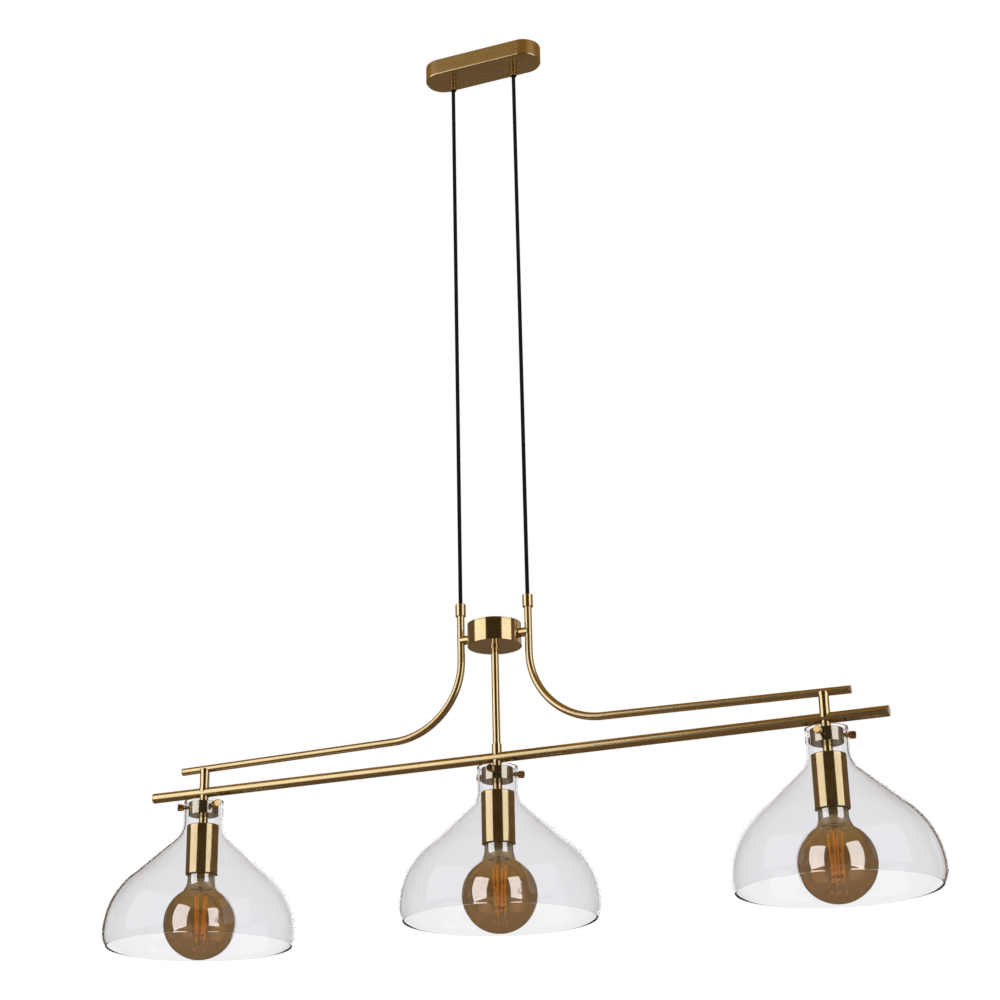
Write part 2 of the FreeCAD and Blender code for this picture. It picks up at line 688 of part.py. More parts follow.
def lampholder(x):
    """Porcelain lampholder under the cup's roof, with a seat for the tube and a deep socket."""
    body = upright(HOLDER_DIA / 2, holder_bottom, holder_top, x)
    socket = SOCKET_DIA / 2 + SOCKET_METAL + HOLE_GAP
    body = body.cut(upright(socket, holder_bottom, socket_roof, x))
    body = body.cut(upright(LAMP_TUBE_DIA / 2 + FIT_GAP, holder_top - LAMP_TUBE_SEAT, holder_top, x))
    return body.cut(upright(WIRE_HOLE_DIA / 2, socket_roof, holder_top, x))


def socket_metal(x):
    """The socket's metal sleeve and its centre contact."""
    sleeve_top = holder_bottom + SOCKET_LENGTH
    sleeve = pipe(SOCKET_DIA / 2 + SOCKET_METAL, SOCKET_DIA / 2, holder_bottom, sleeve_top, x)
    contact = upright(CONTACT_DIA / 2, socket_roof - CONTACT_THICKNESS, socket_roof, x)
    return [sleeve, contact]


# ---- bulb ----

bulb_centre = BAR_Z - BULB_DROP
bulb_foot = bulb_centre - BULB_DIA / 2
bulb_tip = bulb_foot + BULB_LENGTH
cap_bottom = bulb_tip - CAP_HEIGHT


def bulb_outline(x, inset):
    """Right-hand outline of the globe, from the shoulder at the cap down to its lowest point."""
    globe = BULB_DIA / 2 - inset
    neck = BULB_NECK_DIA / 2 - inset
    fillet = BULB_NECK_FILLET + inset
    shoulder = BULB_SHOULDER - inset
    rise = math.sqrt((globe + fillet) ** 2 - (neck + fillet) ** 2)
    meet_deg = math.degrees(math.atan2(rise, neck + fillet))
    shoulder_z = cap_bottom - BULB_SHOULDER
    shoulder_centre = Vector(x + neck - shoulder, 0, shoulder_z)
    fillet_centre = Vector(x + neck + fillet, 0, bulb_centre + rise)
    return [
        bend(shoulder_centre, shoulder, 90, 0),
        line(Vector(x + neck, 0, shoulder_z), Vector(x + neck, 0, fillet_centre.z)),
        bend(fillet_centre, fillet, 180, 180 + meet_deg),
        bend(Vector(x, 0, bulb_centre), globe, meet_deg, -90),
    ]


def bulb_body(x, inset):
    """The globe's outline closed along its axis and turned."""
    outline = bulb_outline(x, inset)
    start = outline[0].valueAt(outline[0].FirstParameter)
    foot = Vector(x, 0, bulb_centre - BULB_DIA / 2 + inset)
    top = Vector(x, 0, start.z)
    return turned(outline + [line(foot, top), line(top, start)], x)


def bulb_glass(x):
    """Thin blown globe with a neck, pierced at the top for its stem."""
    glass = bulb_body(x, 0).cut(bulb_body(x, BULB_GLASS))
    return glass.cut(upright(BULB_STEM_DIA / 2 + HOLE_GAP, cap_bottom - 2 * BULB_GLASS, cap_bottom, x))


def bulb_cap(x):
    """Screw cap with rounded thread ridges, an insulated shoulder and a centre contact."""
    crest = CAP_DIA / 2
    root = crest - CAP_THREAD_DEPTH
    tip = CAP_TIP_DIA / 2
    thread_top = bulb_tip - CAP_SHOULDER
    outline = [(0, bulb_tip), (tip - CAP_TIP_EDGE, bulb_tip), (tip, bulb_tip - CAP_TIP_HEIGHT),
               (root, thread_top)]
    ridges = int((thread_top - cap_bottom) / CAP_THREAD_PITCH)
    for turn in range(ridges):
        top = thread_top - turn * CAP_THREAD_PITCH
        for radius, part_of_pitch in ((root, 0.2), (crest, 0.4), (crest, 0.6), (root, 0.8)):
            outline.append((radius, top - CAP_THREAD_PITCH * part_of_pitch))
    outline += [(root, cap_bottom), (0, cap_bottom)]
    return turned_polygon(outline, x)


def bulb_filaments(x):
    """Glass stem and rod with two wire spiders, and the glowing sticks held between them."""
    stick_top = BAR_Z - STICK_TOP_DROP
    stick_foot = stick_top - STICK_LENGTH
    stem = upright(BULB_STEM_DIA / 2, cap_bottom - BULB_STEM_LENGTH, cap_bottom, x)
    mount = stem.fuse(upright(BULB_ROD_DIA / 2, stick_foot - LOOSE_GAP - SPIDER_WIDTH, cap_bottom, x))
    half = SPIDER_WIDTH / 2
    for base, reach in ((stick_top + LOOSE_GAP, STICK_TOP_RADIUS),
                        (stick_foot - LOOSE_GAP - SPIDER_WIDTH, STICK_FOOT_RADIUS)):
        mount = mount.fuse(box(x - reach, x + reach, -half, half, base, base + SPIDER_WIDTH))
        mount = mount.fuse(box(x - half, x + half, -reach, reach, base, base + SPIDER_WIDTH))
    solids = [mount.removeSplitter()]
    for step in range(STICK_COUNT):
        turn = 2 * math.pi * step / STICK_COUNT
        out = Vector(math.cos(turn), math.sin(turn), 0)
        head = Vector(x, 0, stick_top) + out * STICK_TOP_RADIUS
        foot = Vector(x, 0, stick_foot) + out * STICK_FOOT_RADIUS
        solids.append(rod(STICK_DIA / 2, foot + UP * STICK_GAP, head - UP * STICK_GAP))
    return solids


# ---- shade ----

def shade_outline(x, inset):
    """Edges of the bell from the top of its neck to the end of its lip, and that last point."""
    flare = math.radians(SHADE_FLARE_DEG)
    neck = SHADE_NECK_DIA / 2 - inset
    neck_bend = SHADE_NECK_BEND + inset
    shoulder = SHADE_SHOULDER_BEND - inset
    lip = SHADE_LIP_BEND - inset
    widest_z = BAR_Z - SHADE_WIDEST
    top = Vector(x + neck, 0, BAR_Z - SHADE_TOP)
    shoulder_centre = Vector(x + SHADE_DIA / 2 - SHADE_SHOULDER_BEND, 0, widest_z)
    lip_centre = Vector(x + SHADE_DIA / 2 - SHADE_LIP_BEND, 0, widest_z)
    flare_out = Vector(math.cos(flare), 0, math.sin(flare))
    shoulder_start = shoulder_centre + flare_out * shoulder
    neck_bend_end_x = x + neck + neck_bend * (1 - math.cos(flare))
    straight_drop = (shoulder_start.x - neck_bend_end_x) / math.tan(flare)
    neck_bend_z = shoulder_start.z + straight_drop + neck_bend * math.sin(flare)
    neck_centre = Vector(x + neck + neck_bend, 0, neck_bend_z)
    lip_deg = math.degrees(math.asin(SHADE_LIP_DROP / SHADE_LIP_BEND))
    edges = [
        line(top, Vector(top.x, 0, neck_bend_z)),
        bend(neck_centre, neck_bend, 180, 180 + SHADE_FLARE_DEG),
        line(neck_centre - flare_out * neck_bend, shoulder_start),
        bend(shoulder_centre, shoulder, SHADE_FLARE_DEG, 0),
        bend(lip_centre, lip, 0, -lip_deg),
    ]
    turn = math.radians(-lip_deg)
    return edges, lip_centre + Vector(lip * math.cos(turn), 0, lip * math.sin(turn)), turn


def shade(lamp, x):
    """Clear bell: straight neck, flared shoulder, widest just above a lip that curves in."""
    outer, outer_end, turn = shade_outline(x, 0)
    inner, inner_end, _ = shade_outline(x, SHADE_GLASS)
    rim_centre = (outer_end + inner_end) * 0.5
    rim_low = rim_centre + Vector(math.sin(turn), 0, -math.cos(turn)) * (SHADE_GLASS / 2)
    top_outer = Vector(x + neck_radius, 0, BAR_Z - SHADE_TOP)
    top_inner = top_outer - Vector(SHADE_GLASS, 0, 0)
    rim = Part.Arc(outer_end, rim_low, inner_end).toShape()
    bell = turned(outer + [rim] + inner[::-1] + [line(top_inner, top_outer)], x)
    for angle in thumb_angles(lamp):
        hole = spoke(angle, THUMB_CONE_DIA / 2 + LOOSE_GAP, neck_radius - SHADE_GLASS - OVERRUN,
                     neck_radius + OVERRUN, x)
        bell = bell.cut(hole)
    return bell


def thumbscrew(angle_deg, x):
    """Knurled screw through the shade's neck into the gallery."""
    tip = GALLERY_DIA / 2 - THUMB_ENGAGED
    cone_start = GALLERY_DIA / 2 + LOOSE_GAP
    flange_end = thumb_seat + THUMB_FLANGE_THICKNESS
    head_start = flange_end + THUMB_WAIST
    head_end = flange_end + THUMB_HEAD_LENGTH
    thread = THUMB_THREAD_DIA / 2
    cone = THUMB_CONE_DIA / 2
    head = THUMB_HEAD_DIA / 2
    outline = [
        (0, tip), (thread, tip), (thread, cone_start), (cone, thumb_seat),
        (THUMB_FLANGE_DIA / 2, thumb_seat), (THUMB_FLANGE_DIA / 2, flange_end),
        (cone, flange_end), (cone, head_start), (head - THUMB_INNER_EDGE, head_start),
        (head, head_start + THUMB_INNER_EDGE), (head, head_end - THUMB_OUTER_EDGE),
        (head - THUMB_OUTER_EDGE, head_end), (0, head_end),
    ]
    screw = turned_polygon(outline)
    grooves = []
    for step in range(THUMB_GROOVES):
        turn = 2 * math.pi * step / THUMB_GROOVES
        out = head + THUMB_GROOVE_OUT
        grooves.append(upright(THUMB_GROOVE_DIA / 2, head_start - OVERRUN, head_end + OVERRUN,
                               out * math.cos(turn), out * math.sin(turn)))
    screw = screw.cut(Part.makeCompound(grooves))
    turn = math.radians(angle_deg)
    out = Vector(math.cos(turn), math.sin(turn), 0)
    screw.Placement = FreeCAD.Placement(Vector(x, 0, thumb_z), FreeCAD.Rotation(UP, out))
    return screw


metal_in_sockets = []
for lamp, lamp_x in LAMPS.items():
    keep("lamp_tube_" + lamp, lamp_tube(lamp_x))
    keep("gallery_" + lamp, gallery(lamp, lamp_x))
    keep("lamp_cup_" + lamp, lamp_cup(lamp_x))
    keep("lampholder_" + lamp, lampholder(lamp_x))
    keep("bulb_glass_" + lamp, bulb_glass(lamp_x))
    keep("bulb_cap_" + lamp, bulb_cap(lamp_x))
    keep("bulb_filaments_" + lamp, *bulb_filaments(lamp_x))
    keep("shade_" + lamp, shade(lamp, lamp_x))
    for number, angle in enumerate(thumb_angles(lamp), 1):
        keep("thumbscrew_%s_%d" % (lamp, number), thumbscrew(angle, lamp_x))
    metal_in_sockets += socket_metal(lamp_x)
keep("socket_contacts", *metal_in_sockets)

# ---------------------------------------------------------------- files

os.makedirs("parts", exist_ok=True)
for name, shape in nodes.items():
    for solid in shape.Solids:
        if not solid.isValid() or solid.Volume <= 0:
            print("check this sub-part:", name)
    shape.exportStep("parts/%s.step" % name)
print("sub-parts:", len(nodes), "solids:", sum(len(shape.Solids) for shape in nodes.values()))
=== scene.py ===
# %% [markdown]
# # A linear island pendant in antique brass and clear glass
# The construction is already packed as a frame: every piece of the light is in it at its real
# size, and hangs from a ceiling at z = 0 with its long bar along X. This lesson dresses that
# frame. Pieces that catch the light are drawn again as smooth meshes, and all get a finish.

# %% Load the frame
import json
import math
import bmesh
import bpy
from mathutils import Matrix, Vector


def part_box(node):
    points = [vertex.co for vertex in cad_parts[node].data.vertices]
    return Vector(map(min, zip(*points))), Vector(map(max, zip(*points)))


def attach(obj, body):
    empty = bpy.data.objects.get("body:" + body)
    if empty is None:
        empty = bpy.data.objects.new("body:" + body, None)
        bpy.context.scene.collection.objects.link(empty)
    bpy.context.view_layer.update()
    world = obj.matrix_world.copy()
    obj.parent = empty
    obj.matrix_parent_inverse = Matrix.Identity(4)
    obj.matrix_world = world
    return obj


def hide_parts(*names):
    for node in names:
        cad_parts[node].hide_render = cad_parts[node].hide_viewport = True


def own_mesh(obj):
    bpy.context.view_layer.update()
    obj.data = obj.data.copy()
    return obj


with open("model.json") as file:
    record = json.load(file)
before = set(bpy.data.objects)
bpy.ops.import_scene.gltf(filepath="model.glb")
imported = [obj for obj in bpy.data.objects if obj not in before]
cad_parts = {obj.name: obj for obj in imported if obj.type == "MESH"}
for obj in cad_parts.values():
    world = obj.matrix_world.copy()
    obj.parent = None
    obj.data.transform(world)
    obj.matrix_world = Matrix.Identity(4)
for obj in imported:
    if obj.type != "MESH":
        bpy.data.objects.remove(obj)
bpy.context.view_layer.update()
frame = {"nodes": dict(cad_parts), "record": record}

# %% [markdown]
# ## Drawing in millimetres
# A workshop drawing is in millimetres, so the drawings here are too. They become metres only
# when a mesh is made into a piece. Places are read from the frame, so that each new piece lies
# exactly where the solid that it stands for is.

# %% Places and lamps
MM = 0.001


def box_mm(node):
    """Lowest and highest corner of a node, in millimetres."""
    low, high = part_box(node)
    return low / MM, high / MM


LAMPS = ("left", "middle", "right")
SIDES = {"left": -1, "right": 1}
bar_low, bar_high = box_mm("main_bar")
bar_z = (bar_low.z + bar_high.z) / 2
bar_radius = (bar_high.z - bar_low.z) / 2
lamp_x = {}
for lamp in LAMPS:
    low, high = box_mm("lamp_cup_" + lamp)
    lamp_x[lamp] = (low.x + high.x) / 2
cord_low, cord_high = box_mm("cord_right")
cord_x = (cord_low.x + cord_high.x) / 2
print("bar at", round(bar_z, 1), "lamps at", {name: round(x, 1) for name, x in lamp_x.items()})

# %% [markdown]
# ## Node trees in one small function
# Every finish below is a handful of shader nodes. One function adds a node, sets its values
# and joins its inputs, so a material reads like a recipe. Colours are written as the hex
# values that a paint chart gives, and one function turns them to linear light.


# %% Colour and shader helpers
def linear(hex_colour):
    """A hex sRGB colour as linear red, green, blue and a full alpha."""
    channels = []
    for start in (0, 2, 4):
        value = int(hex_colour[start:start + 2], 16) / 255
        channels.append(value / 12.92 if value <= 0.04045 else ((value + 0.055) / 1.055) ** 2.4)
    return (*channels, 1.0)


def add_node(tree, kind, settings=None, **inputs):
    """Add a node; an input is a plain value or the output socket of another node."""
    node = tree.nodes.new(kind)
    for name, value in (settings or {}).items():
        setattr(node, name, value)
    for name, value in inputs.items():
        socket = node.inputs[name.replace("_", " ")]
        if isinstance(value, bpy.types.NodeSocket):
            tree.links.new(value, socket)
        else:
            socket.default_value = value
    return node


def new_material(name):
    """An empty node tree with its output, ready for a recipe."""
    material = bpy.data.materials.new(name)
    material.use_nodes = True
    material.node_tree.nodes.clear()
    output = material.node_tree.nodes.new("ShaderNodeOutputMaterial")
    return material, material.node_tree, output


def streaks(tree, fine, long, grain):
    """Noise drawn out along the grain: 'grain' names the axes that it runs along."""
    coordinates = add_node(tree, "ShaderNodeTexCoord")
    scale = tuple(1 / (long if axis in grain else fine) / MM for axis in "XYZ")
    mapping = add_node(tree, "ShaderNodeMapping", Vector=coordinates.outputs["Object"],
                       Scale=scale)
    return add_node(tree, "ShaderNodeTexNoise", Vector=mapping.outputs["Vector"],
                    Scale=1.0, Detail=4.0, Roughness=0.6)


# %% [markdown]
# ## Antique brass
# The real parts are brass-plated steel, brushed with an abrasive belt and then lacquered.
# Brushing leaves fine scratches in one direction: round a turned part, along a drawn tube.
# They widen a reflection across the grain, so the metal shows soft bright bands instead of a
# mirror image. The real scratches are about 0.1 mm apart. They are drawn 1.4 mm apart here,
# because finer ones would vanish in the picture. The cups are seen through their glass, which
# takes some of the light, so their brass is painted a little paler: painted light that makes up
# for what the glass takes. The real cups are the same brass as the rest.

# %% Brass finishes
BRASS_LIGHT = "D4BE8E"
BRASS_DEEP = "C9B281"
# The cups' two colours are the same brass painted paler, as painted light for what the glass takes.
CUP_LIGHT_PAINTED_PALER = "DFCA9C"
CUP_DEEP_PAINTED_PALER = "D5BE90"
DEEP_BELOW = 0.55
LIGHT_ABOVE = 1.15 / 1.2
SCRATCH_PITCH = 1.4
SCRATCH_LENGTH = 80.0
SCRATCH_DEPTH = 0.01
SCRATCH_SHARE = 0.7
CLOUD_SIZE = 35.0
LACQUER_ROUGHNESS = 0.05


def brushed_brass(name, grain, roughness, light=BRASS_LIGHT, deep=BRASS_DEEP):
    """Brushed and lacquered brass whose scratches run along the axes in 'grain'."""
    material, tree, output = new_material(name)
    scratch = streaks(tree, SCRATCH_PITCH, SCRATCH_LENGTH, grain)
    cloud = streaks(tree, CLOUD_SIZE, CLOUD_SIZE, "")
    blend = add_node(tree, "ShaderNodeMath", {"operation": "MULTIPLY_ADD"})
    tree.links.new(scratch.outputs["Fac"], blend.inputs[0])
    blend.inputs[1].default_value = SCRATCH_SHARE
    tree.links.new(cloud.outputs["Fac"], blend.inputs[2])
    ramp = add_node(tree, "ShaderNodeValToRGB", Fac=blend.outputs["Value"])
    ramp.color_ramp.elements[0].position = DEEP_BELOW
    ramp.color_ramp.elements[0].color = linear(deep)
    ramp.color_ramp.elements[1].position = LIGHT_ABOVE
    ramp.color_ramp.elements[1].color = linear(light)
    rough = add_node(tree, "ShaderNodeMapRange", Value=scratch.outputs["Fac"])
    rough.inputs["To Min"].default_value = roughness * 0.85
    rough.inputs["To Max"].default_value = roughness * 1.15
    bump = add_node(tree, "ShaderNodeBump", Height=scratch.outputs["Fac"],
                    Strength=0.03, Distance=SCRATCH_DEPTH * MM)
    metal = add_node(tree, "ShaderNodeBsdfPrincipled", Base_Color=ramp.outputs["Color"],
                     Metallic=1.0, Roughness=rough.outputs["Result"], Normal=bump.outputs["Normal"],
                     Coat_Weight=1.0, Coat_Roughness=LACQUER_ROUGHNESS)
    tree.links.new(metal.outputs["BSDF"], output.inputs["Surface"])
    return material


turned_brass = brushed_brass("antique_brass_brushed_round", "XY", 0.11)
# The cups get a paler copy of the turned brass: painted light for what their glass takes.
cup_brass_painted_paler = brushed_brass("antique_brass_brushed_round_cup_painted_paler", "XY", 0.11, CUP_LIGHT_PAINTED_PALER, CUP_DEEP_PAINTED_PALER)
drawn_brass = brushed_brass("antique_brass_brushed_along_bar", "X", 0.23)
upright_brass = brushed_brass("antique_brass_brushed_upright", "Z", 0.11)
canopy_brass = brushed_brass("antique_brass_brushed_canopy", "X", 0.26)
print("brass finishes:", turned_brass.name, drawn_brass.name, upright_brass.name)

# %% [markdown]
# ## The other finishes
# Nickel plate is a little yellower than chrome. Zinc plate, porcelain, moulded plastic and
# phosphor-coated light sticks are seen little, but each still gets what its real surface does
# to light. The cord is a cotton sleeve braided round two wires.


# %% Plain finishes with a fine grain
def plain_finish(name, hex_colour, metallic, roughness, grain_size, depth, **inputs):
    """A one-colour surface with a fine bump and a slight change of roughness."""
    material, tree, output = new_material(name)
    grain = streaks(tree, grain_size, grain_size, "")
    rough = add_node(tree, "ShaderNodeMapRange", Value=grain.outputs["Fac"])
    rough.inputs["To Min"].default_value = roughness * 0.8
    rough.inputs["To Max"].default_value = min(1.0, roughness * 1.2)
    bump = add_node(tree, "ShaderNodeBump", Height=grain.outputs["Fac"],
                    Strength=0.2, Distance=depth * MM)
    shader = add_node(tree, "ShaderNodeBsdfPrincipled", Base_Color=linear(hex_colour),
                      Metallic=metallic, Roughness=rough.outputs["Result"],
                      Normal=bump.outputs["Normal"], **inputs)
    tree.links.new(shader.outputs["BSDF"], output.inputs["Surface"])
    return material


satin_nickel = plain_finish("satin_nickel_plate", "C9C2B0", 1.0, 0.13, 2.0, 0.005)
zinc_steel = plain_finish("bright_zinc_plate", "B9BCC0", 1.0, 0.3, 1.5, 0.03)
porcelain = plain_finish("glazed_porcelain", "EDEAE2", 0.0, 0.12, 3.0, 0.05)
moulded_plastic = plain_finish("moulded_nylon_white", "E4E3DE", 0.0, 0.45, 0.6, 0.03)
contact_brass = plain_finish("pressed_bright_brass", "D8B56E", 1.0, 0.25, 1.0, 0.02)
cap_metal = plain_finish("nickel_plated_screw_cap", "C6C4BE", 1.0, 0.28, 1.0, 0.03)
knurled_brass = plain_finish("knurled_brass", "CBAA74", 1.0, 0.12, 2.0, 0.005)
phosphor = plain_finish("phosphor_coated_light_stick", "F2A03C", 0.0, 0.5, 0.5, 0.02,
                        Emission_Color=linear("F9A93A"), Emission_Strength=0.9)
wire_metal = plain_finish("nickel_support_wire", "A9A294", 1.0, 0.25, 0.5, 0.005)
print("finishes so far:", len(bpy.data.materials))

# %% [markdown]
# ## Clear glass and amber glass
# The shades are blown soda glass with a faint grey cast, 3 mm thick. Soda glass has an IOR of
# 1.5, but among the dark cloths of this studio that draws black edges, which the real shades
# don't show. So the body has a low IOR, and a thin clear coat with the real one gives back
# some gloss. The bulbs have an amber layer fumed onto the inside, which stops short of the
# clear neck, so the colour fades upwards. The layer is half a mirror, so it gets a coat with
# a high IOR, and shows the soft boxes as two pale squares.

# %% Glass
SHADE_TINT = "F3F3F5"
STEM_TINT = "F4F3EE"
AMBER_TINT = "E9CCA4"
CLEAR_TINT = "F2F1EA"
SODA_IOR = 1.5
SHADE_IOR = 1.08
SHADE_COAT = 0.35
FUMED_IOR = 2.0
MIRROR_IOR = 4.0


def soda_glass(name, hex_colour, ior, coat):
    """Clear glass with a smooth, fire-polished surface."""
    material, tree, output = new_material(name)
    glass = add_node(tree, "ShaderNodeBsdfPrincipled", Base_Color=linear(hex_colour),
                     Roughness=0.0, IOR=ior, Transmission_Weight=1.0, Coat_Weight=coat,
                     Coat_Roughness=0.0, Coat_IOR=SODA_IOR)
    tree.links.new(glass.outputs["BSDF"], output.inputs["Surface"])
    return material


def amber_glass(name, clear_z, amber_z):
    """Fumed bulb glass: clear above one height, amber below another, in millimetres."""
    material, tree, output = new_material(name)
    coordinates = add_node(tree, "ShaderNodeTexCoord")
    split = add_node(tree, "ShaderNodeSeparateXYZ", Vector=coordinates.outputs["Object"])
    fade = add_node(tree, "ShaderNodeMapRange", {"interpolation_type": "SMOOTHSTEP"},
                    Value=split.outputs["Z"], From_Min=amber_z * MM, From_Max=clear_z * MM)
    ramp = add_node(tree, "ShaderNodeValToRGB", Fac=fade.outputs["Result"])
    ramp.color_ramp.elements[0].color = linear(AMBER_TINT)
    ramp.color_ramp.elements[1].color = linear(CLEAR_TINT)
    glass = add_node(tree, "ShaderNodeBsdfPrincipled", Base_Color=ramp.outputs["Color"],
                     Roughness=0.0, IOR=FUMED_IOR, Transmission_Weight=1.0,
                     Coat_Weight=1.0, Coat_Roughness=0.0, Coat_IOR=MIRROR_IOR)
    tree.links.new(glass.outputs["BSDF"], output.inputs["Surface"])
    return material


clear_glass = soda_glass("blown_soda_glass", SHADE_TINT, SHADE_IOR, SHADE_COAT)
stem_glass = soda_glass("pressed_stem_glass", STEM_TINT, SODA_IOR, 0.0)
print("glass:", clear_glass.name, stem_glass.name)

# %% [markdown]
# ## Braided cord
# The sleeve is woven from cotton threads that cross at a slant. On a straight upright cord
# two slanting waves, one leaning each way, give that lattice from Object coordinates. A real
# thread is about 0.5 mm wide, and it is drawn at 1.2 mm so that it can show.

# %% Cord finish
THREAD_WIDTH = 1.2
THREAD_LEAN = 0.7
THREAD_DARK = "060606"
THREAD_LIGHT = "10100F"


def braided_cotton(name):
    """A black cotton sleeve with threads that cross at a slant."""
    material, tree, output = new_material(name)
    coordinates = add_node(tree, "ShaderNodeTexCoord")
    waves = []
    for lean in (-THREAD_LEAN, THREAD_LEAN):
        slant = add_node(tree, "ShaderNodeMapping", Vector=coordinates.outputs["Object"],
                         Rotation=(0, lean, 0), Scale=(1 / (THREAD_WIDTH * MM),) * 3)
        waves.append(add_node(tree, "ShaderNodeTexWave", {"bands_direction": "Z"},
                              Vector=slant.outputs["Vector"], Scale=0.35, Distortion=0.4))
    lattice = add_node(tree, "ShaderNodeMath", {"operation": "MAXIMUM"})
    for index, wave in enumerate(waves):
        tree.links.new(wave.outputs["Fac"], lattice.inputs[index])
    ramp = add_node(tree, "ShaderNodeValToRGB", Fac=lattice.outputs["Value"])
    ramp.color_ramp.elements[0].color = linear(THREAD_DARK)
    ramp.color_ramp.elements[1].color = linear(THREAD_LIGHT)
    bump = add_node(tree, "ShaderNodeBump", Height=lattice.outputs["Value"], Strength=0.3,
                    Distance=0.1 * MM)
    cotton = add_node(tree, "ShaderNodeBsdfPrincipled", Base_Color=ramp.outputs["Color"],
                      Roughness=0.85, Normal=bump.outputs["Normal"], Specular_IOR_Level=0.2,
                      Sheen_Weight=0.04, Sheen_Roughness=0.5)
    tree.links.new(cotton.outputs["BSDF"], output.inputs["Surface"])
    return material


black_cotton = braided_cotton("braided_black_cotton")
print("cord finish:", black_cotton.name)

# %% [markdown]
# ## Finish for each node
# Nodes that keep their solid get a material by slot. A Weld modifier joins their loose
# triangles, and an Edge Split keeps the true corners crisp, so a screw's round side shades
# smoothly. Their meshes aren't touched.

# %% Dress the nodes that stay
SLOT_FINISH = {
    "antique_brass": turned_brass, "knurled_brass": knurled_brass, "polished_nickel": satin_nickel,
    "zinc_steel": zinc_steel, "black_fabric": black_cotton, "white_plastic": moulded_plastic,
    "porcelain": porcelain, "contact_brass": contact_brass, "clear_glass": clear_glass,
    "amber_glass": clear_glass, "cap_metal": cap_metal, "filament": phosphor,
}
CREASE_ANGLE = math.radians(32)

for row in frame["record"]["subparts"]:
    node = frame["nodes"][row["node"]]
    finish = SLOT_FINISH[row["material_slot"]]
    if node.material_slots:
        for place in node.material_slots:
            place.material = finish
    else:
        node.data.materials.append(finish)
    for face in node.data.polygons:
        face.use_smooth = True
    weld = node.modifiers.new("join_triangles", "WELD")
    weld.merge_threshold = 0.002 * MM
    split = node.modifiers.new("keep_corners", "EDGE_SPLIT")
    split.split_angle = CREASE_ANGLE
print("nodes dressed:", len(frame["nodes"]))


# %% [markdown]
# ## From a drawing to a piece
# A bmesh holds the drawing. Its doubles are merged and its faces turned outwards before it
# becomes a mesh. Real metal never has a knife edge, so a small bevel on each sharp edge
# catches a thin highlight. Weighted normals keep the flats flat beside those bevels.

# %% Making pieces
SAME_PLACE = 0.001
SHARP_ANGLE = math.radians(40)


def soften(bm, size, segments=3):
    """Bevel every sharp edge of a drawing."""
    bmesh.ops.remove_doubles(bm, verts=bm.verts, dist=SAME_PLACE)
    bmesh.ops.recalc_face_normals(bm, faces=bm.faces)
    sharp = []
    for edge in bm.edges:
        if len(edge.link_faces) == 2 and edge.calc_face_angle() > SHARP_ANGLE:
            sharp.append(edge)
    bmesh.ops.bevel(bm, geom=sharp, offset=size, segments=segments, profile=0.5,
                    affect="EDGES", material=-1, clamp_overlap=True)


def make_piece(name, bm, material, body, slot, *nodes):
    """A finished drawing becomes a piece that rides on a body and stands for its nodes."""
    bmesh.ops.remove_doubles(bm, verts=bm.verts, dist=SAME_PLACE / 2)
    bmesh.ops.recalc_face_normals(bm, faces=bm.faces)
    bmesh.ops.scale(bm, vec=(MM, MM, MM), verts=bm.verts)
    mesh = bpy.data.meshes.new(name)
    bm.to_mesh(mesh)
    bm.free()
    mesh.shade_smooth()
    mesh.set_sharp_from_angle(angle=CREASE_ANGLE)
    mesh.materials.append(material)
    piece = bpy.data.objects.new(name, mesh)
    bpy.context.scene.collection.objects.link(piece)
    normals = piece.modifiers.new("flat_faces_stay_flat", "WEIGHTED_NORMAL")
    normals.keep_sharp = True
    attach(piece, body)
    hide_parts(*nodes)
    return piece


def turned_shape(corners, x, segments):
    """Spin an outline of radius and height pairs about an upright axis."""
    bm = bmesh.new()
    outline = [bm.verts.new((radius, 0, z)) for radius, z in corners]
    for start, end in zip(outline, outline[1:] + outline[:1]):
        if max(start.co.x, end.co.x) > SAME_PLACE:
            bm.edges.new((start, end))
    bmesh.ops.spin(bm, geom=bm.verts[:] + bm.edges[:], cent=(0, 0, 0), axis=(0, 0, 1),
                   angle=2 * math.pi, steps=segments, use_merge=True)
    bmesh.ops.remove_doubles(bm, verts=bm.verts, dist=SAME_PLACE)
    bmesh.ops.translate(bm, vec=(x, 0, 0), verts=bm.verts)
    return bm


def turned_piece(name, corners, x, material, body, slot, nodes, soft=0.3, segments=96):
    """Lathe work on a body: spun, softened and made a piece."""
    bm = turned_shape(corners, x, segments)
    soften(bm, soft)
    return make_piece(name, bm, material, body, slot, *nodes)


# %% [markdown]
# ## Canopy cover
# The cover on the ceiling is pressed from sheet: a slot-shaped tray 175 by 51 mm. Its outline
# is two half circles joined by straights. A vertex spun through a half turn draws each end,
# the outline is extruded down for the wall, and Solidify gives the sheet its thickness.

# %% Canopy cover
CANOPY_SHEET = 1.2
CANOPY_EDGE = 2.2
EDGE_STEPS = 8
HALF_TURN_STEPS = 40
low, high = box_mm("canopy_cover")
end_radius = (high.y - low.y) / 2
end_x = high.x - end_radius

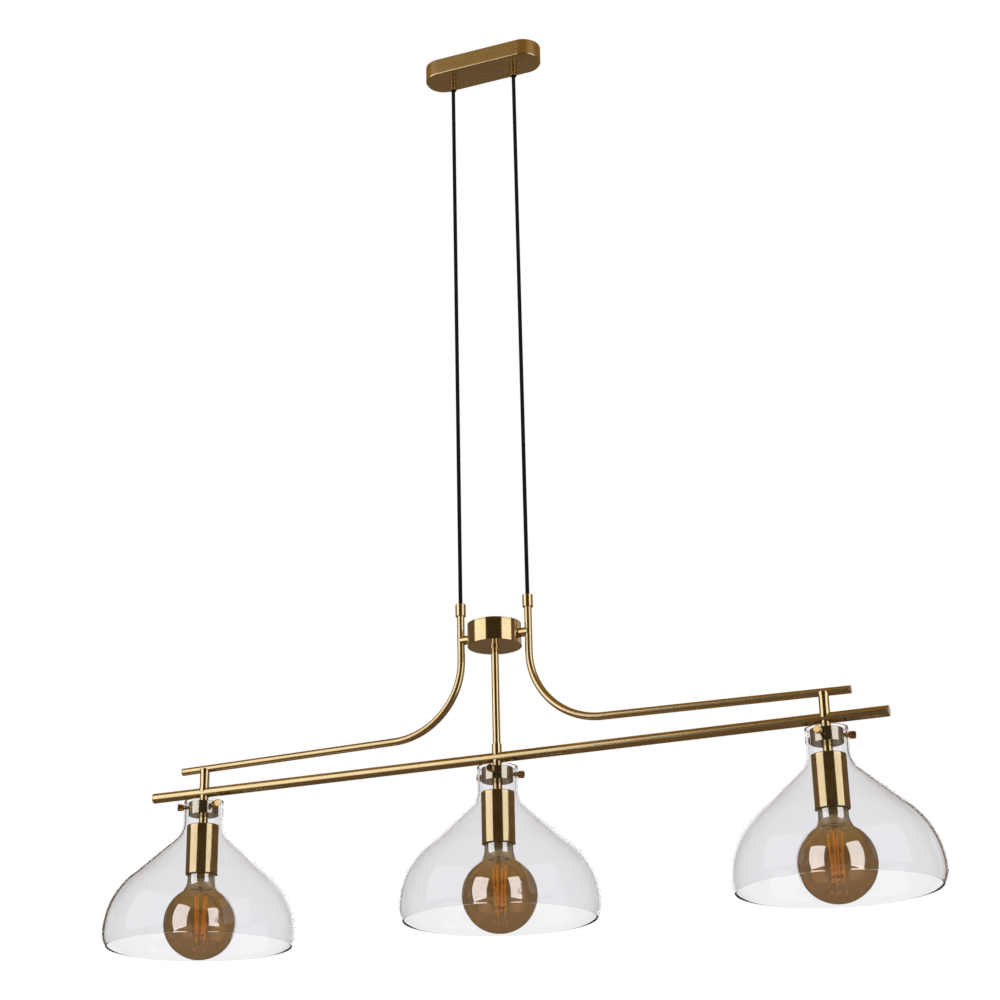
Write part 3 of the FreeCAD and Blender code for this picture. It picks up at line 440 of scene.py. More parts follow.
bm = bmesh.new()
first = bm.verts.new((end_x, -end_radius, high.z))
turn = bmesh.ops.spin(bm, geom=[first], cent=(end_x, 0, high.z), axis=(0, 0, 1),
                      angle=math.pi, steps=HALF_TURN_STEPS)
corner = [v for v in turn["geom_last"] if isinstance(v, bmesh.types.BMVert)][0]
across = bmesh.ops.extrude_vert_indiv(bm, verts=[corner])["verts"][0]
across.co.x = -end_x
turn = bmesh.ops.spin(bm, geom=[across], cent=(-end_x, 0, high.z), axis=(0, 0, 1),
                      angle=math.pi, steps=HALF_TURN_STEPS)
corner = [v for v in turn["geom_last"] if isinstance(v, bmesh.types.BMVert)][0]
bm.edges.new((corner, first))
wall = bmesh.ops.extrude_edge_only(bm, edges=bm.edges[:])["geom"]
low_verts = [v for v in wall if isinstance(v, bmesh.types.BMVert)]
bmesh.ops.translate(bm, vec=(0, 0, low.z - high.z), verts=low_verts)
low_edges = [e for e in bm.edges if all(v.co.z < low.z + SAME_PLACE for v in e.verts)]
bmesh.ops.edgeloop_fill(bm, edges=low_edges)
bmesh.ops.recalc_face_normals(bm, faces=bm.faces)
bmesh.ops.bevel(bm, geom=low_edges, offset=CANOPY_EDGE, segments=EDGE_STEPS, profile=0.5,
                affect="EDGES", material=-1)
bmesh.ops.recalc_face_normals(bm, faces=bm.faces)
bmesh.ops.solidify(bm, geom=bm.faces[:], thickness=CANOPY_SHEET)
make_piece("pressed_canopy", bm, canopy_brass, "ceiling_set", "antique_brass", "canopy_cover")
print("canopy:", round(2 * high.x), "by", round(2 * end_radius), "mm")

# %% [markdown]
# ## Grips and ferrules
# Each cord leaves the canopy through a turned grip and enters the frame through a ferrule.
# They are lathe work, so an outline spun about the cord gives them. Each pair shares one node,
# so it is made as one piece: the right one is drawn, and the left one is its mirror image.

# %% Grips and ferrules
GRIP_RADIUS = 4.9
GRIP_MOUTH_EDGE = 0.9
GRIP_MOUTH_DEPTH = 4.0
CORD_BORE = 2.8
FERRULE_RADIUS = 7.0
grip_low, grip_high = box_mm("cord_grips")
ferrule_low, ferrule_high = box_mm("ferrules")
canopy_floor = low.z


def mirrored_pair(bm):
    """Add the mirror image across the middle of the light."""
    bmesh.ops.mirror(bm, geom=bm.verts[:] + bm.edges[:] + bm.faces[:], axis="X",
                     merge_dist=-1)


grip_outline = [
    (CORD_BORE, canopy_floor), (GRIP_RADIUS, canopy_floor), (GRIP_RADIUS, grip_low.z),
    (GRIP_RADIUS - GRIP_MOUTH_EDGE, grip_low.z), (CORD_BORE, grip_low.z + GRIP_MOUTH_DEPTH),
]
bm = turned_shape(grip_outline, cord_x, segments=64)
soften(bm, 0.3)
mirrored_pair(bm)
make_piece("turned_grips", bm, upright_brass, "ceiling_set", "antique_brass", "cord_grips")

ferrule_outline = [
    (CORD_BORE, ferrule_low.z), (FERRULE_RADIUS, ferrule_low.z), (FERRULE_RADIUS, ferrule_high.z),
    (CORD_BORE, ferrule_high.z),
]
bm = turned_shape(ferrule_outline, cord_x, segments=64)
soften(bm, 0.6)
mirrored_pair(bm)
make_piece("turned_ferrules", bm, upright_brass, "frame", "antique_brass", "ferrules")
print("grips end at", round(grip_low.z, 1), "ferrules start at", round(ferrule_high.z, 1))

# %% [markdown]
# ## Hanging cords
# A cord under load is straight, from the grip's mouth down into the ferrule. It is drawn as a
# NURBS line and given its roundness, and the tube is made a mesh. The light can be hung
# higher, and then the cord gets shorter.

# %% Cords
CORD_DIAMETER = cord_high.x - cord_low.x
CORD_ROUTE = (cord_high.z, (cord_high.z + cord_low.z) / 2, cord_low.z)


def cord_curve(name, x, bevel):
    """The cord's line through its points, top to foot, with a round section if asked."""
    curve = bpy.data.curves.new(name, "CURVE")
    curve.dimensions = "3D"
    curve.bevel_depth = bevel
    curve.bevel_resolution = 5
    curve.resolution_u = 24
    curve.use_fill_caps = True
    spline = curve.splines.new("NURBS")
    spline.points.add(len(CORD_ROUTE) - 1)
    for point, z in zip(spline.points, CORD_ROUTE):
        point.co = (x * MM, 0, z * MM, 1)
    spline.order_u = 3
    spline.use_endpoint_u = True
    holder = bpy.data.objects.new(name, curve)
    bpy.context.scene.collection.objects.link(holder)
    bpy.context.view_layer.update()
    mesh = bpy.data.meshes.new_from_object(holder)
    bpy.data.objects.remove(holder)
    return mesh


for side, sign in SIDES.items():
    line = cord_curve("line", sign * cord_x, 0.0)
    tube = cord_curve("tube", sign * cord_x, CORD_DIAMETER / 2 * MM)
    tube.shade_smooth()
    tube.materials.clear()
    tube.materials.append(black_cotton)
    cord = bpy.data.objects.new("braided_cord_" + side, tube)
    bpy.context.scene.collection.objects.link(cord)
    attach(cord, "cords")
    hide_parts("cord_" + side)
    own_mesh(cord)

# %% [markdown]
# ## Straight and bent tubes
# The bar is drawn tube. The arms are the same kind of tube pulled round a former: straight
# down, a quarter turn, then out over the lamps. A ring of vertices extruded and spun follows
# that route exactly, and Solidify gives the tube its wall.


# %% Tube helpers
def ring(bm, radius, centre, axis, segments=64):
    """A circle of vertices square to an axis; its edges are returned."""
    turn = Vector((0, 0, 1)).rotation_difference(Vector(axis)).to_matrix().to_4x4()
    made = bmesh.ops.create_circle(bm, radius=radius, segments=segments,
                                   matrix=Matrix.Translation(centre) @ turn)
    return list({edge for vert in made["verts"] for edge in vert.link_edges})


def pull(bm, edges, vector):
    """Extrude a ring along a straight; the new ring's edges are returned."""
    made = bmesh.ops.extrude_edge_only(bm, edges=edges)["geom"]
    verts = [item for item in made if isinstance(item, bmesh.types.BMVert)]
    bmesh.ops.translate(bm, vec=vector, verts=verts)
    return [item for item in made if isinstance(item, bmesh.types.BMEdge)]


def wall_of(bm, thickness):
    """Give an open tube its wall, inwards."""
    bmesh.ops.recalc_face_normals(bm, faces=bm.faces)
    bmesh.ops.solidify(bm, geom=bm.faces[:], thickness=thickness)


# %% [markdown]
# ## Main bar and its plugs
# A plug closes each end. Bar and plug have the same width, and the bevels on their meeting
# edges leave the thin ring line that shows where one ends.

# %% Main bar
BAR_WALL = 1.5
PLUG_THICKNESS = 2.0
bm = bmesh.new()
edges = ring(bm, bar_radius, (bar_low.x, 0, bar_z), (1, 0, 0))
pull(bm, edges, (bar_high.x - bar_low.x, 0, 0))
wall_of(bm, BAR_WALL)
soften(bm, 0.25, 2)
make_piece("drawn_bar", bm, drawn_brass, "frame", "antique_brass", "main_bar")

bm = bmesh.new()
edges = ring(bm, bar_radius, (bar_high.x, 0, bar_z), (1, 0, 0))
bmesh.ops.edgeloop_fill(bm, edges=edges)
end_edges = pull(bm, edges, (PLUG_THICKNESS, 0, 0))
bmesh.ops.edgeloop_fill(bm, edges=end_edges)
soften(bm, 0.35)
mirrored_pair(bm)
make_piece("bar_plugs", bm, drawn_brass, "frame", "antique_brass", "bar_end_plugs")
print("bar:", round(bar_high.x - bar_low.x + 2 * PLUG_THICKNESS), "mm with its plugs")

# %% [markdown]
# ## Arms
# One arm is drawn, and the other is its mirror image. The last run droops by one degree, as
# in the photograph.

# %% Arms
ARM_RADIUS = 5.0
ARM_WALL = 1.0
ARM_BEND = 97.0
ARM_BEND_ABOVE_BAR = 134.0
ARM_DROOP = math.radians(1.0)
arm_low, arm_high = box_mm("arm_right")
bend_z = bar_z + ARM_BEND_ABOVE_BAR
arm_turn = math.pi / 2 - ARM_DROOP
arm_out = Vector((math.cos(ARM_DROOP), 0, -math.sin(ARM_DROOP)))
bend_end_x = cord_x + ARM_BEND * (1 - math.cos(arm_turn))
bend_end_z = bend_z - ARM_BEND * math.sin(arm_turn)
plug_seat_x = arm_high.x - ARM_RADIUS * math.sin(ARM_DROOP)
arm_run = (plug_seat_x - bend_end_x) / math.cos(ARM_DROOP)
plug_seat = Vector((bend_end_x, 0, bend_end_z)) + arm_out * arm_run


def arm_drawing():
    """The right arm: straight down, round its bend and out to its plug."""
    bm = bmesh.new()
    edges = ring(bm, ARM_RADIUS, (cord_x, 0, arm_high.z), (0, 0, 1))
    edges = pull(bm, edges, (0, 0, bend_z - arm_high.z))
    verts = list({vert for edge in edges for vert in edge.verts})
    bend = bmesh.ops.spin(bm, geom=verts + edges, cent=(cord_x + ARM_BEND, 0, bend_z),
                          axis=(0, 1, 0), angle=-arm_turn, steps=48)
    edges = [item for item in bend["geom_last"] if isinstance(item, bmesh.types.BMEdge)]
    pull(bm, edges, arm_out * arm_run)
    wall_of(bm, ARM_WALL)
    soften(bm, 0.2, 2)
    return bm


for side, sign in SIDES.items():
    bm = arm_drawing()
    bmesh.ops.scale(bm, vec=(sign, 1, 1), verts=bm.verts)
    make_piece("bent_arm_" + side, bm, drawn_brass, "frame", "antique_brass", "arm_" + side)

bm = bmesh.new()
edges = ring(bm, ARM_RADIUS, plug_seat, arm_out)
bmesh.ops.edgeloop_fill(bm, edges=edges)
end_edges = pull(bm, edges, arm_out * PLUG_THICKNESS)
bmesh.ops.edgeloop_fill(bm, edges=end_edges)
soften(bm, 0.3)
mirrored_pair(bm)
make_piece("arm_plugs", bm, drawn_brass, "frame", "antique_brass", "arm_end_plugs")
print("arms reach", round(plug_seat.x + PLUG_THICKNESS), "mm from the middle")

# %% [markdown]
# ## Drum, stem and links
# The drum hides the wire joints. Its lid has a fine seam 2 mm below the top. The stem comes
# out of a collar under the drum and meets the bar in a sleeve. The links between bar and arms
# flare where they meet the tubes, as a brazed saddle does.

# %% Drum
DRUM_WALL = 1.5
LID_THICKNESS = 2.0
low, high = box_mm("drum_body")
drum_radius = (high.x - low.x) / 2
lid_seat = high.z
drum_outline = [
    (0, low.z), (drum_radius, low.z), (drum_radius, lid_seat),
    (drum_radius - DRUM_WALL, lid_seat), (drum_radius - DRUM_WALL, low.z + DRUM_WALL),
    (0, low.z + DRUM_WALL),
]
turned_piece("drum_shell", drum_outline, 0, turned_brass, "frame", "antique_brass",
             ["drum_body"], soft=0.3, segments=160)
lid_top = lid_seat + LID_THICKNESS
lid_outline = [(0, lid_seat), (drum_radius, lid_seat), (drum_radius, lid_top), (0, lid_top)]
turned_piece("drum_top", lid_outline, 0, turned_brass, "frame", "antique_brass", ["drum_lid"],
             soft=0.45, segments=160)
print("drum:", round(2 * drum_radius, 1), "mm across")

# %% Stem, collar and sleeve
STEM_RADIUS = 5.0
STEM_WALL = 1.5
for name, node, bore in (("stem_collar_ring", "stem_collar", STEM_RADIUS),
                         ("stem_foot_sleeve", "stem_sleeve", STEM_RADIUS),
                         ("drawn_stem", "centre_stem", STEM_RADIUS - STEM_WALL)):
    low, high = box_mm(node)
    radius = (high.x - low.x) / 2
    outline = [(bore, low.z), (radius, low.z), (radius, high.z), (bore, high.z)]
    turned_piece(name, outline, 0, upright_brass, "frame", "antique_brass", [node], soft=0.35,
                 segments=64)
print("stem:", 2 * STEM_RADIUS, "mm across")

# %% Links
FLARE = 0.7
FLARE_HEIGHT = 2.4
FLARE_FOOT = bar_radius * 0.55
LINK_CAP = 3.0
low, high = box_mm("tube_links")
link_x = lamp_x["right"]
link_radius = high.x - link_x
outline = [
    (0, bar_z), (link_radius + FLARE, bar_z), (link_radius + FLARE, bar_z + FLARE_FOOT),
    (link_radius, bar_z + bar_radius + FLARE_HEIGHT),
    (link_radius, high.z - FLARE_HEIGHT - LINK_CAP),
    (link_radius + FLARE, high.z - LINK_CAP), (link_radius + FLARE, high.z), (0, high.z),
]
bm = turned_shape(outline, link_x, segments=64)
soften(bm, 0.25)
mirrored_pair(bm)
make_piece("saddle_links", bm, upright_brass, "frame", "antique_brass", "tube_links")
print("links at", round(link_x), "mm")

# %% [markdown]
# ## Lamps: tube, gallery and cup
# All three lamps are alike, so one loop makes them. The gallery is a turned dish in satin
# nickel. The cup is a long plain sleeve over the lampholder, with a rounded shoulder.

# %% Lamp metalwork
CUP_WALL = 1.5
CUP_ROOF = 2.0
CUP_SHOULDER = 1.5
TUBE_RADIUS = 6.0
TUBE_WALL = 2.0
GALLERY_WALL = 4.0
GALLERY_FLOOR = 2.5
GALLERY_HUB = 9.0


def rounded_top(radius, top, size, steps=5):
    """Outline points round an upper outer edge, from the side to the top."""
    points = []
    for step in range(steps + 1):
        angle = math.pi / 2 * step / steps
        points.append((radius + size * (math.cos(angle) - 1), top + size * (math.sin(angle) - 1)))
    return points


for lamp, x in lamp_x.items():
    low, high = box_mm("lamp_cup_" + lamp)
    radius = (high.x - low.x) / 2
    outline = [
        (radius - CUP_WALL, low.z), (radius, low.z), *rounded_top(radius, high.z, CUP_SHOULDER),
        (TUBE_RADIUS, high.z), (TUBE_RADIUS, high.z - CUP_ROOF),
        (radius - CUP_WALL, high.z - CUP_ROOF),
    ]
    turned_piece("long_cup_" + lamp, outline, x, cup_brass_painted_paler, "frame", "antique_brass",
                 ["lamp_cup_" + lamp], soft=0.25, segments=128)

    low, high = box_mm("gallery_" + lamp)
    radius = (high.x - low.x) / 2
    floor = low.z + GALLERY_FLOOR
    outline = [
        (TUBE_RADIUS, low.z), (radius, low.z), (radius, high.z), (radius - GALLERY_WALL, high.z),
        (radius - GALLERY_WALL, floor), (GALLERY_HUB, floor), (GALLERY_HUB, high.z),
        (TUBE_RADIUS, high.z),
    ]
    turned_piece("nickel_gallery_" + lamp, outline, x, satin_nickel, "frame", "polished_nickel",
                 ["gallery_" + lamp], soft=0.6, segments=128)

    low, high = box_mm("lamp_tube_" + lamp)
    outline = [(TUBE_RADIUS - TUBE_WALL, low.z), (TUBE_RADIUS, low.z), (TUBE_RADIUS, bar_z),
               (TUBE_RADIUS - TUBE_WALL, bar_z)]
    turned_piece("threaded_tube_" + lamp, outline, x, upright_brass, "frame", "antique_brass",
                 ["lamp_tube_" + lamp], soft=0.2, segments=64)
print("lamp metalwork for", len(lamp_x), "lamps")

# %% [markdown]
# ## A pen for curved outlines
# Blown glass has no corners: its outline is arcs that run into each other. A pen draws it.
# One call runs straight, another spins the last vertex about a centre, and each arc starts
# where the last one ended.


# %% The pen
class Pen:
    """Draws an outline in radius and height, one stroke after another."""

    def __init__(self, radius, z):
        self.bm = bmesh.new()
        self.at = self.bm.verts.new((radius, 0, z))

    def run(self, radius, z):
        """A straight line to a new place."""
        self.at = bmesh.ops.extrude_vert_indiv(self.bm, verts=[self.at])["verts"][0]
        self.at.co = (radius, 0, z)

    def arc(self, radius, z, degrees, steps):
        """Counter-clockwise is positive, seen with the radius to the right."""
        made = bmesh.ops.spin(self.bm, geom=[self.at], cent=(radius, 0, z), axis=(0, 1, 0),
                              angle=-math.radians(degrees), steps=steps)
        self.at = [v for v in made["geom_last"] if isinstance(v, bmesh.types.BMVert)][0]

    def spin(self, x, segments):
        """Turn the outline about the lamp's axis and return the drawing."""
        bmesh.ops.spin(self.bm, geom=self.bm.verts[:] + self.bm.edges[:], cent=(0, 0, 0),
                       axis=(0, 0, 1), angle=2 * math.pi, steps=segments, use_merge=True)
        bmesh.ops.remove_doubles(self.bm, verts=self.bm.verts, dist=SAME_PLACE)
        bmesh.ops.translate(self.bm, vec=(x, 0, 0), verts=self.bm.verts)
        return self.bm


# %% [markdown]
# ## Glass shades
# The bell has a straight neck, a bend into a straight flare, a wide shoulder, and a lip that
# turns in below the widest place. The pen draws the outside down to the lip, rounds the rim,
# and comes back up inside, 3 mm nearer the axis.

# %% Shades
SHADE_GLASS = 3.0
NECK_RADIUS = 26.0
NECK_BEND = 28.0
FLARE_DEG = 48.5
SHOULDER_BEND = 100.0
LIP_BEND = 28.0
LIP_DROP = 16.0
WIDEST_BELOW_BAR = 187.0
SHADE_SEGMENTS = 320
low, high = box_mm("shade_middle")
shade_radius = (high.x - low.x) / 2
shade_top = high.z
widest_z = bar_z - WIDEST_BELOW_BAR
lip_deg = math.degrees(math.asin(LIP_DROP / LIP_BEND))
flare = math.radians(FLARE_DEG)
shoulder_x = shade_radius - SHOULDER_BEND
lip_x = shade_radius - LIP_BEND
flare_top_x = NECK_RADIUS + NECK_BEND * (1 - math.cos(flare))
foot_x = shoulder_x + SHOULDER_BEND * math.cos(flare)
foot_z = widest_z + SHOULDER_BEND * math.sin(flare)
neck_bend_x = NECK_RADIUS + NECK_BEND
neck_bend_z = foot_z + (foot_x - flare_top_x) / math.tan(flare) + NECK_BEND * math.sin(flare)


def shade_drawing(x):
    """Down the outside, round the rim, up the inside and across the neck's top."""
    pen = Pen(NECK_RADIUS, shade_top)
    pen.run(NECK_RADIUS, neck_bend_z)
    pen.arc(neck_bend_x, neck_bend_z, FLARE_DEG, 14)
    pen.run(foot_x, foot_z)
    pen.arc(shoulder_x, widest_z, -FLARE_DEG, 20)
    pen.arc(lip_x, widest_z, -lip_deg, 12)
    rim = math.radians(-lip_deg)
    middle = LIP_BEND - SHADE_GLASS / 2
    pen.arc(lip_x + middle * math.cos(rim), widest_z + middle * math.sin(rim), -180, 10)
    pen.arc(lip_x, widest_z, lip_deg, 12)
    pen.arc(shoulder_x, widest_z, FLARE_DEG, 20)
    inner_bend = NECK_BEND + SHADE_GLASS
    pen.run(neck_bend_x - inner_bend * math.cos(flare), neck_bend_z - inner_bend * math.sin(flare))
    pen.arc(neck_bend_x, neck_bend_z, -FLARE_DEG, 14)
    pen.run(NECK_RADIUS - SHADE_GLASS, shade_top)
    pen.run(NECK_RADIUS, shade_top)
    return pen.spin(x, SHADE_SEGMENTS)


for lamp, x in lamp_x.items():
    make_piece("blown_shade_" + lamp, shade_drawing(x), clear_glass, "frame", "clear_glass",
               "shade_" + lamp)
print("shades:", round(2 * shade_radius, 1), "mm wide")

# %% [markdown]
# ## Bulbs
# The globe runs up through a soft fillet into a short neck. The pen draws the outside down to
# the lowest point, and Solidify gives the open shell its 0.8 mm of glass, inwards.

# %% Bulb glass
BULB_GLASS = 0.8
GLOBE_RADIUS = 47.5
BULB_NECK = 18.3
BULB_FILLET = 20.0
BULB_SHOULDER = 5.5
STEM_HOLE = 4.7
AMBER_UP_TO = 22.0
CLEAR_FROM = 58.0
glass_low, glass_high = box_mm("bulb_glass_middle")
globe_z = glass_low.z + GLOBE_RADIUS
shoulder_z = glass_high.z - BULB_SHOULDER
rise = math.sqrt((GLOBE_RADIUS + BULB_FILLET) ** 2 - (BULB_NECK + BULB_FILLET) ** 2)
meet_deg = math.degrees(math.atan2(rise, BULB_NECK + BULB_FILLET))
amber = amber_glass("fumed_amber_glass", globe_z + CLEAR_FROM, globe_z + AMBER_UP_TO)


def bulb_drawing(x):
    """From the stem's hole over the shoulder, down the neck and round the globe."""
    pen = Pen(STEM_HOLE, glass_high.z)
    pen.run(BULB_NECK - BULB_SHOULDER, glass_high.z)
    pen.arc(BULB_NECK - BULB_SHOULDER, shoulder_z, -90, 8)
    pen.run(BULB_NECK, globe_z + rise)
    pen.arc(BULB_NECK + BULB_FILLET, globe_z + rise, meet_deg, 10)
    pen.arc(0, globe_z, -(meet_deg + 90), 48)
    bm = pen.spin(x, 96)
    wall_of(bm, BULB_GLASS)
    return bm


for lamp, x in lamp_x.items():
    make_piece("globe_glass_" + lamp, bulb_drawing(x), amber, "bulb_" + lamp, "amber_glass",
               "bulb_glass_" + lamp)
print("globes:", 2 * GLOBE_RADIUS, "mm")

# %% [markdown]
# ## Inside the bulbs
# A glass stem carries a thin rod. Wires reach out from it at two heights and hold four light
# sticks, which lean in towards the foot. A stick is a strip of tiny lights under yellow-orange
# phosphor, with a bare metal tab at each end.

# %% Stem, wires and light sticks
STEM_RADIUS_TOP = 4.3
STEM_RADIUS_LOW = 2.6
STEM_LENGTH = 22.0
STEM_STRAIGHT = STEM_LENGTH * 0.6
STEM_TAPER = STEM_LENGTH * 0.9
ROD_RADIUS = 0.9
ROD_SHOULDER = 1.0
ROD_TIP = 1.6
WIRE_RADIUS = 0.4
STICK_RADIUS = 1.25
STICK_TOP_BELOW_BAR = 135.0
STICK_LENGTH = 54.0
STICK_TOP_OUT = 9.0
STICK_FOOT_OUT = 5.8
WIRE_RISE = STICK_TOP_OUT * 0.6
TAB_LENGTH = 2.5
TAB_OVERLAP = 1.2
TAB_RADIUS = 0.7
DOME_RIM = 0.6
DOME_DEPTH = 0.5
stick_top = bar_z - STICK_TOP_BELOW_BAR
stick_foot = stick_top - STICK_LENGTH


def rounded_rod(bm, start, end, radius, segments=16):
    """A rod from point to point with domed ends."""
    along = (end - start).normalized()
    dome = along * radius * DOME_DEPTH
    edges = ring(bm, radius * DOME_RIM, start, along, segments)
    bmesh.ops.edgeloop_fill(bm, edges=edges)
    last_place, last_size = start, DOME_RIM
    for place, size in ((start + dome, 1.0), (end - dome, 1.0), (end, DOME_RIM)):
        edges = pull(bm, edges, place - last_place)
        for vert in {vert for edge in edges for vert in edge.verts}:
            vert.co = place + (vert.co - place) * (size / last_size)
        last_place, last_size = place, size
    bmesh.ops.edgeloop_fill(bm, edges=edges)


up = Vector((0, 0, 1))
for lamp, x in lamp_x.items():
    axis = Vector((x, 0, 0))
    pen = Pen(0.0, glass_high.z)
    pen.run(STEM_RADIUS_TOP, glass_high.z)
    pen.run(STEM_RADIUS_TOP, glass_high.z - STEM_STRAIGHT)
    pen.run(STEM_RADIUS_LOW, glass_high.z - STEM_TAPER)
    pen.run(ROD_RADIUS, glass_high.z - STEM_LENGTH)
    pen.run(ROD_RADIUS, stick_foot - ROD_SHOULDER)
    pen.run(0.0, stick_foot - ROD_TIP)
    bm = pen.spin(x, 32)
    make_piece("glass_stem_" + lamp, bm, stem_glass, "bulb_" + lamp, "clear_glass",
               "bulb_filaments_" + lamp)
    wires, sticks = bmesh.new(), bmesh.new()
    for quarter in range(4):
        out = Matrix.Rotation(math.pi / 2 * quarter, 3, "Z") @ Vector((1, 0, 0))
        head = axis + out * STICK_TOP_OUT + up * stick_top
        foot = axis + out * STICK_FOOT_OUT + up * stick_foot
        hub = axis + up * (stick_top + WIRE_RISE)
        lean = (foot - head).normalized()
        rounded_rod(sticks, head + lean * TAB_LENGTH, foot - lean * TAB_LENGTH, STICK_RADIUS)
        rounded_rod(wires, head, head + lean * TAB_LENGTH * TAB_OVERLAP, TAB_RADIUS)
        rounded_rod(wires, foot, foot - lean * TAB_LENGTH * TAB_OVERLAP, TAB_RADIUS)
        rounded_rod(wires, hub, head, WIRE_RADIUS)
        rounded_rod(wires, axis + up * stick_foot, foot, WIRE_RADIUS)
    make_piece("light_sticks_" + lamp, sticks, phosphor, "bulb_" + lamp, "filament",
               "bulb_filaments_" + lamp)
    make_piece("stick_wires_" + lamp, wires, wire_metal, "bulb_" + lamp, "cap_metal",
               "bulb_filaments_" + lamp)
print("light sticks:", 4 * len(lamp_x))

# %% [markdown]
# ## Camera
# The camera stands low in front of the light and looks up at it, a little turned and tilted.
# Its place and angles come from matching the frame's own points to the photograph.

# %% Camera
CAMERA_PLACE = (0.92039, -2.29253, -1.65862)
CAMERA_YAW_DEG = 21.62
CAMERA_PITCH_DEG = 21.44
CAMERA_ROLL_DEG = -1.27
CAMERA_LENS = 72.01
yaw = math.radians(CAMERA_YAW_DEG)
pitch = math.radians(CAMERA_PITCH_DEG)
roll = math.radians(CAMERA_ROLL_DEG)
level = Vector((math.cos(yaw), math.sin(yaw), 0))
ahead = Vector((-math.sin(yaw), math.cos(yaw), 0))
forward = math.cos(pitch) * ahead + math.sin(pitch) * Vector((0, 0, 1))
above = level.cross(forward)
right = math.cos(roll) * level + math.sin(roll) * above
up = -math.sin(roll) * level + math.cos(roll) * above
camera_data = bpy.data.cameras.new("camera")
camera_data.lens = CAMERA_LENS
camera_data.sensor_width = 36.0
camera_data.clip_end = 50.0
camera = bpy.data.objects.new("camera", camera_data)
turn = Matrix((right, up, -forward)).transposed().to_4x4()
camera.matrix_world = Matrix.Translation(CAMERA_PLACE) @ turn
bpy.context.scene.collection.objects.link(camera)
bpy.context.scene.camera = camera
print("camera lens:", CAMERA_LENS, "mm")

# %% [markdown]
# ## Studio
# Brushed metal shows the studio more than itself. Two tall soft boxes stand left and right of
# the camera, and each cup shows them as two bright bands. Two weak boxes light the back. They
# would shine through the clear shades, so rays that come through glass pass them by.

# %% Lights
AIM = Vector((0, 0, -1.15))
BOX_DISTANCE = 3.6
# name, azimuth and elevation in degrees, width and height in metres, radiance
SOFT_BOXES = (
    ("soft_box_left", -42.5, 12.0, 3.44, 4.0, 1.45),
    ("soft_box_right", 74.5, 12.0, 2.7, 4.0, 1.45),
    ("fill_behind_left", -150.0, 18.0, 2.4, 2.0, 0.4),
    ("fill_behind_right", 150.0, 18.0, 2.0, 2.0, 0.3),
)
for name, azimuth, elevation, width, height, radiance in SOFT_BOXES:
    round_it, above_it = math.radians(azimuth), math.radians(elevation)
    level_way = Vector((math.sin(round_it), -math.cos(round_it), 0))
    way = math.cos(above_it) * level_way + math.sin(above_it) * Vector((0, 0, 1))
    lamp_data = bpy.data.lights.new(name, "AREA")
    lamp_data.shape = "RECTANGLE"
    lamp_data.size = width
    lamp_data.size_y = height
    lamp_data.energy = radiance * math.pi * width * height
    lamp_object = bpy.data.objects.new(name, lamp_data)
    lamp_object.location = AIM + way * BOX_DISTANCE
    lamp_object.rotation_euler = way.to_track_quat("Z", "Y").to_euler()
    lamp_object.visible_transmission = name.startswith("soft_box")
    bpy.context.scene.collection.objects.link(lamp_object)
print("boxes:", len(SOFT_BOXES))

# %% [markdown]
# ## Floor and backdrop
# The photograph's ground is pure white. Light Path lets the camera, mirrors and glass see full
# white, while the light that falls on the piece from all round stays at a plain level. The
# floor is pale paint that takes a shadow, and glows a little to those same rays.

# %% Floor and backdrop
SKY_LIGHT = "B0B0B0"
FLOOR_PAINT = "F2F2F2"
FLOOR_Z = -2.5
FLOOR_SIZE = 12.0
FLOOR_LIFT = 0.35


def shown_white(tree, colour):
    """Full white to the camera, to mirrors and through glass, and a lit colour to the rest."""
    path = add_node(tree, "ShaderNodeLightPath")
    either = add_node(tree, "ShaderNodeMath", {"operation": "MAXIMUM"})
    tree.links.new(path.outputs["Is Camera Ray"], either.inputs[0])
    tree.links.new(path.outputs["Is Glossy Ray"], either.inputs[1])
    all_three = add_node(tree, "ShaderNodeMath", {"operation": "MAXIMUM"})
    tree.links.new(either.outputs["Value"], all_three.inputs[0])
    tree.links.new(path.outputs["Is Transmission Ray"], all_three.inputs[1])
    mix = add_node(tree, "ShaderNodeMix", {"data_type": "RGBA"})
    tree.links.new(all_three.outputs["Value"], mix.inputs["Factor"])
    mix.inputs["A"].default_value = colour
    mix.inputs["B"].default_value = (1, 1, 1, 1)
    return [socket for socket in mix.outputs if socket.type == "RGBA"][0]


world = bpy.data.worlds.new("studio")
bpy.context.scene.world = world
world.use_nodes = True
world.node_tree.nodes.clear()
sky = shown_white(world.node_tree, linear(SKY_LIGHT))
background = add_node(world.node_tree, "ShaderNodeBackground", Color=sky, Strength=1.0)
world_output = world.node_tree.nodes.new("ShaderNodeOutputWorld")
world.node_tree.links.new(background.outputs["Background"], world_output.inputs["Surface"])

bm = bmesh.new()
bmesh.ops.create_grid(bm, x_segments=1, y_segments=1, size=FLOOR_SIZE / 2)
bmesh.ops.translate(bm, vec=(0, 0, FLOOR_Z), verts=bm.verts)
floor_mesh = bpy.data.meshes.new("floor")
bm.to_mesh(floor_mesh)
bm.free()
pale_floor, tree, output = new_material("pale_studio_floor")
paint = add_node(tree, "ShaderNodeBsdfDiffuse", Color=linear(FLOOR_PAINT))
lift = add_node(tree, "ShaderNodeEmission", Color=shown_white(tree, (0, 0, 0, 1)),
                Strength=FLOOR_LIFT)
both = add_node(tree, "ShaderNodeAddShader")
tree.links.new(paint.outputs["BSDF"], both.inputs[0])
tree.links.new(lift.outputs["Emission"], both.inputs[1])
tree.links.new(both.outputs["Shader"], output.inputs["Surface"])
pale_floor.cycles.emission_sampling = "NONE"
floor_mesh.materials.append(pale_floor)
floor = bpy.data.objects.new("floor", floor_mesh)
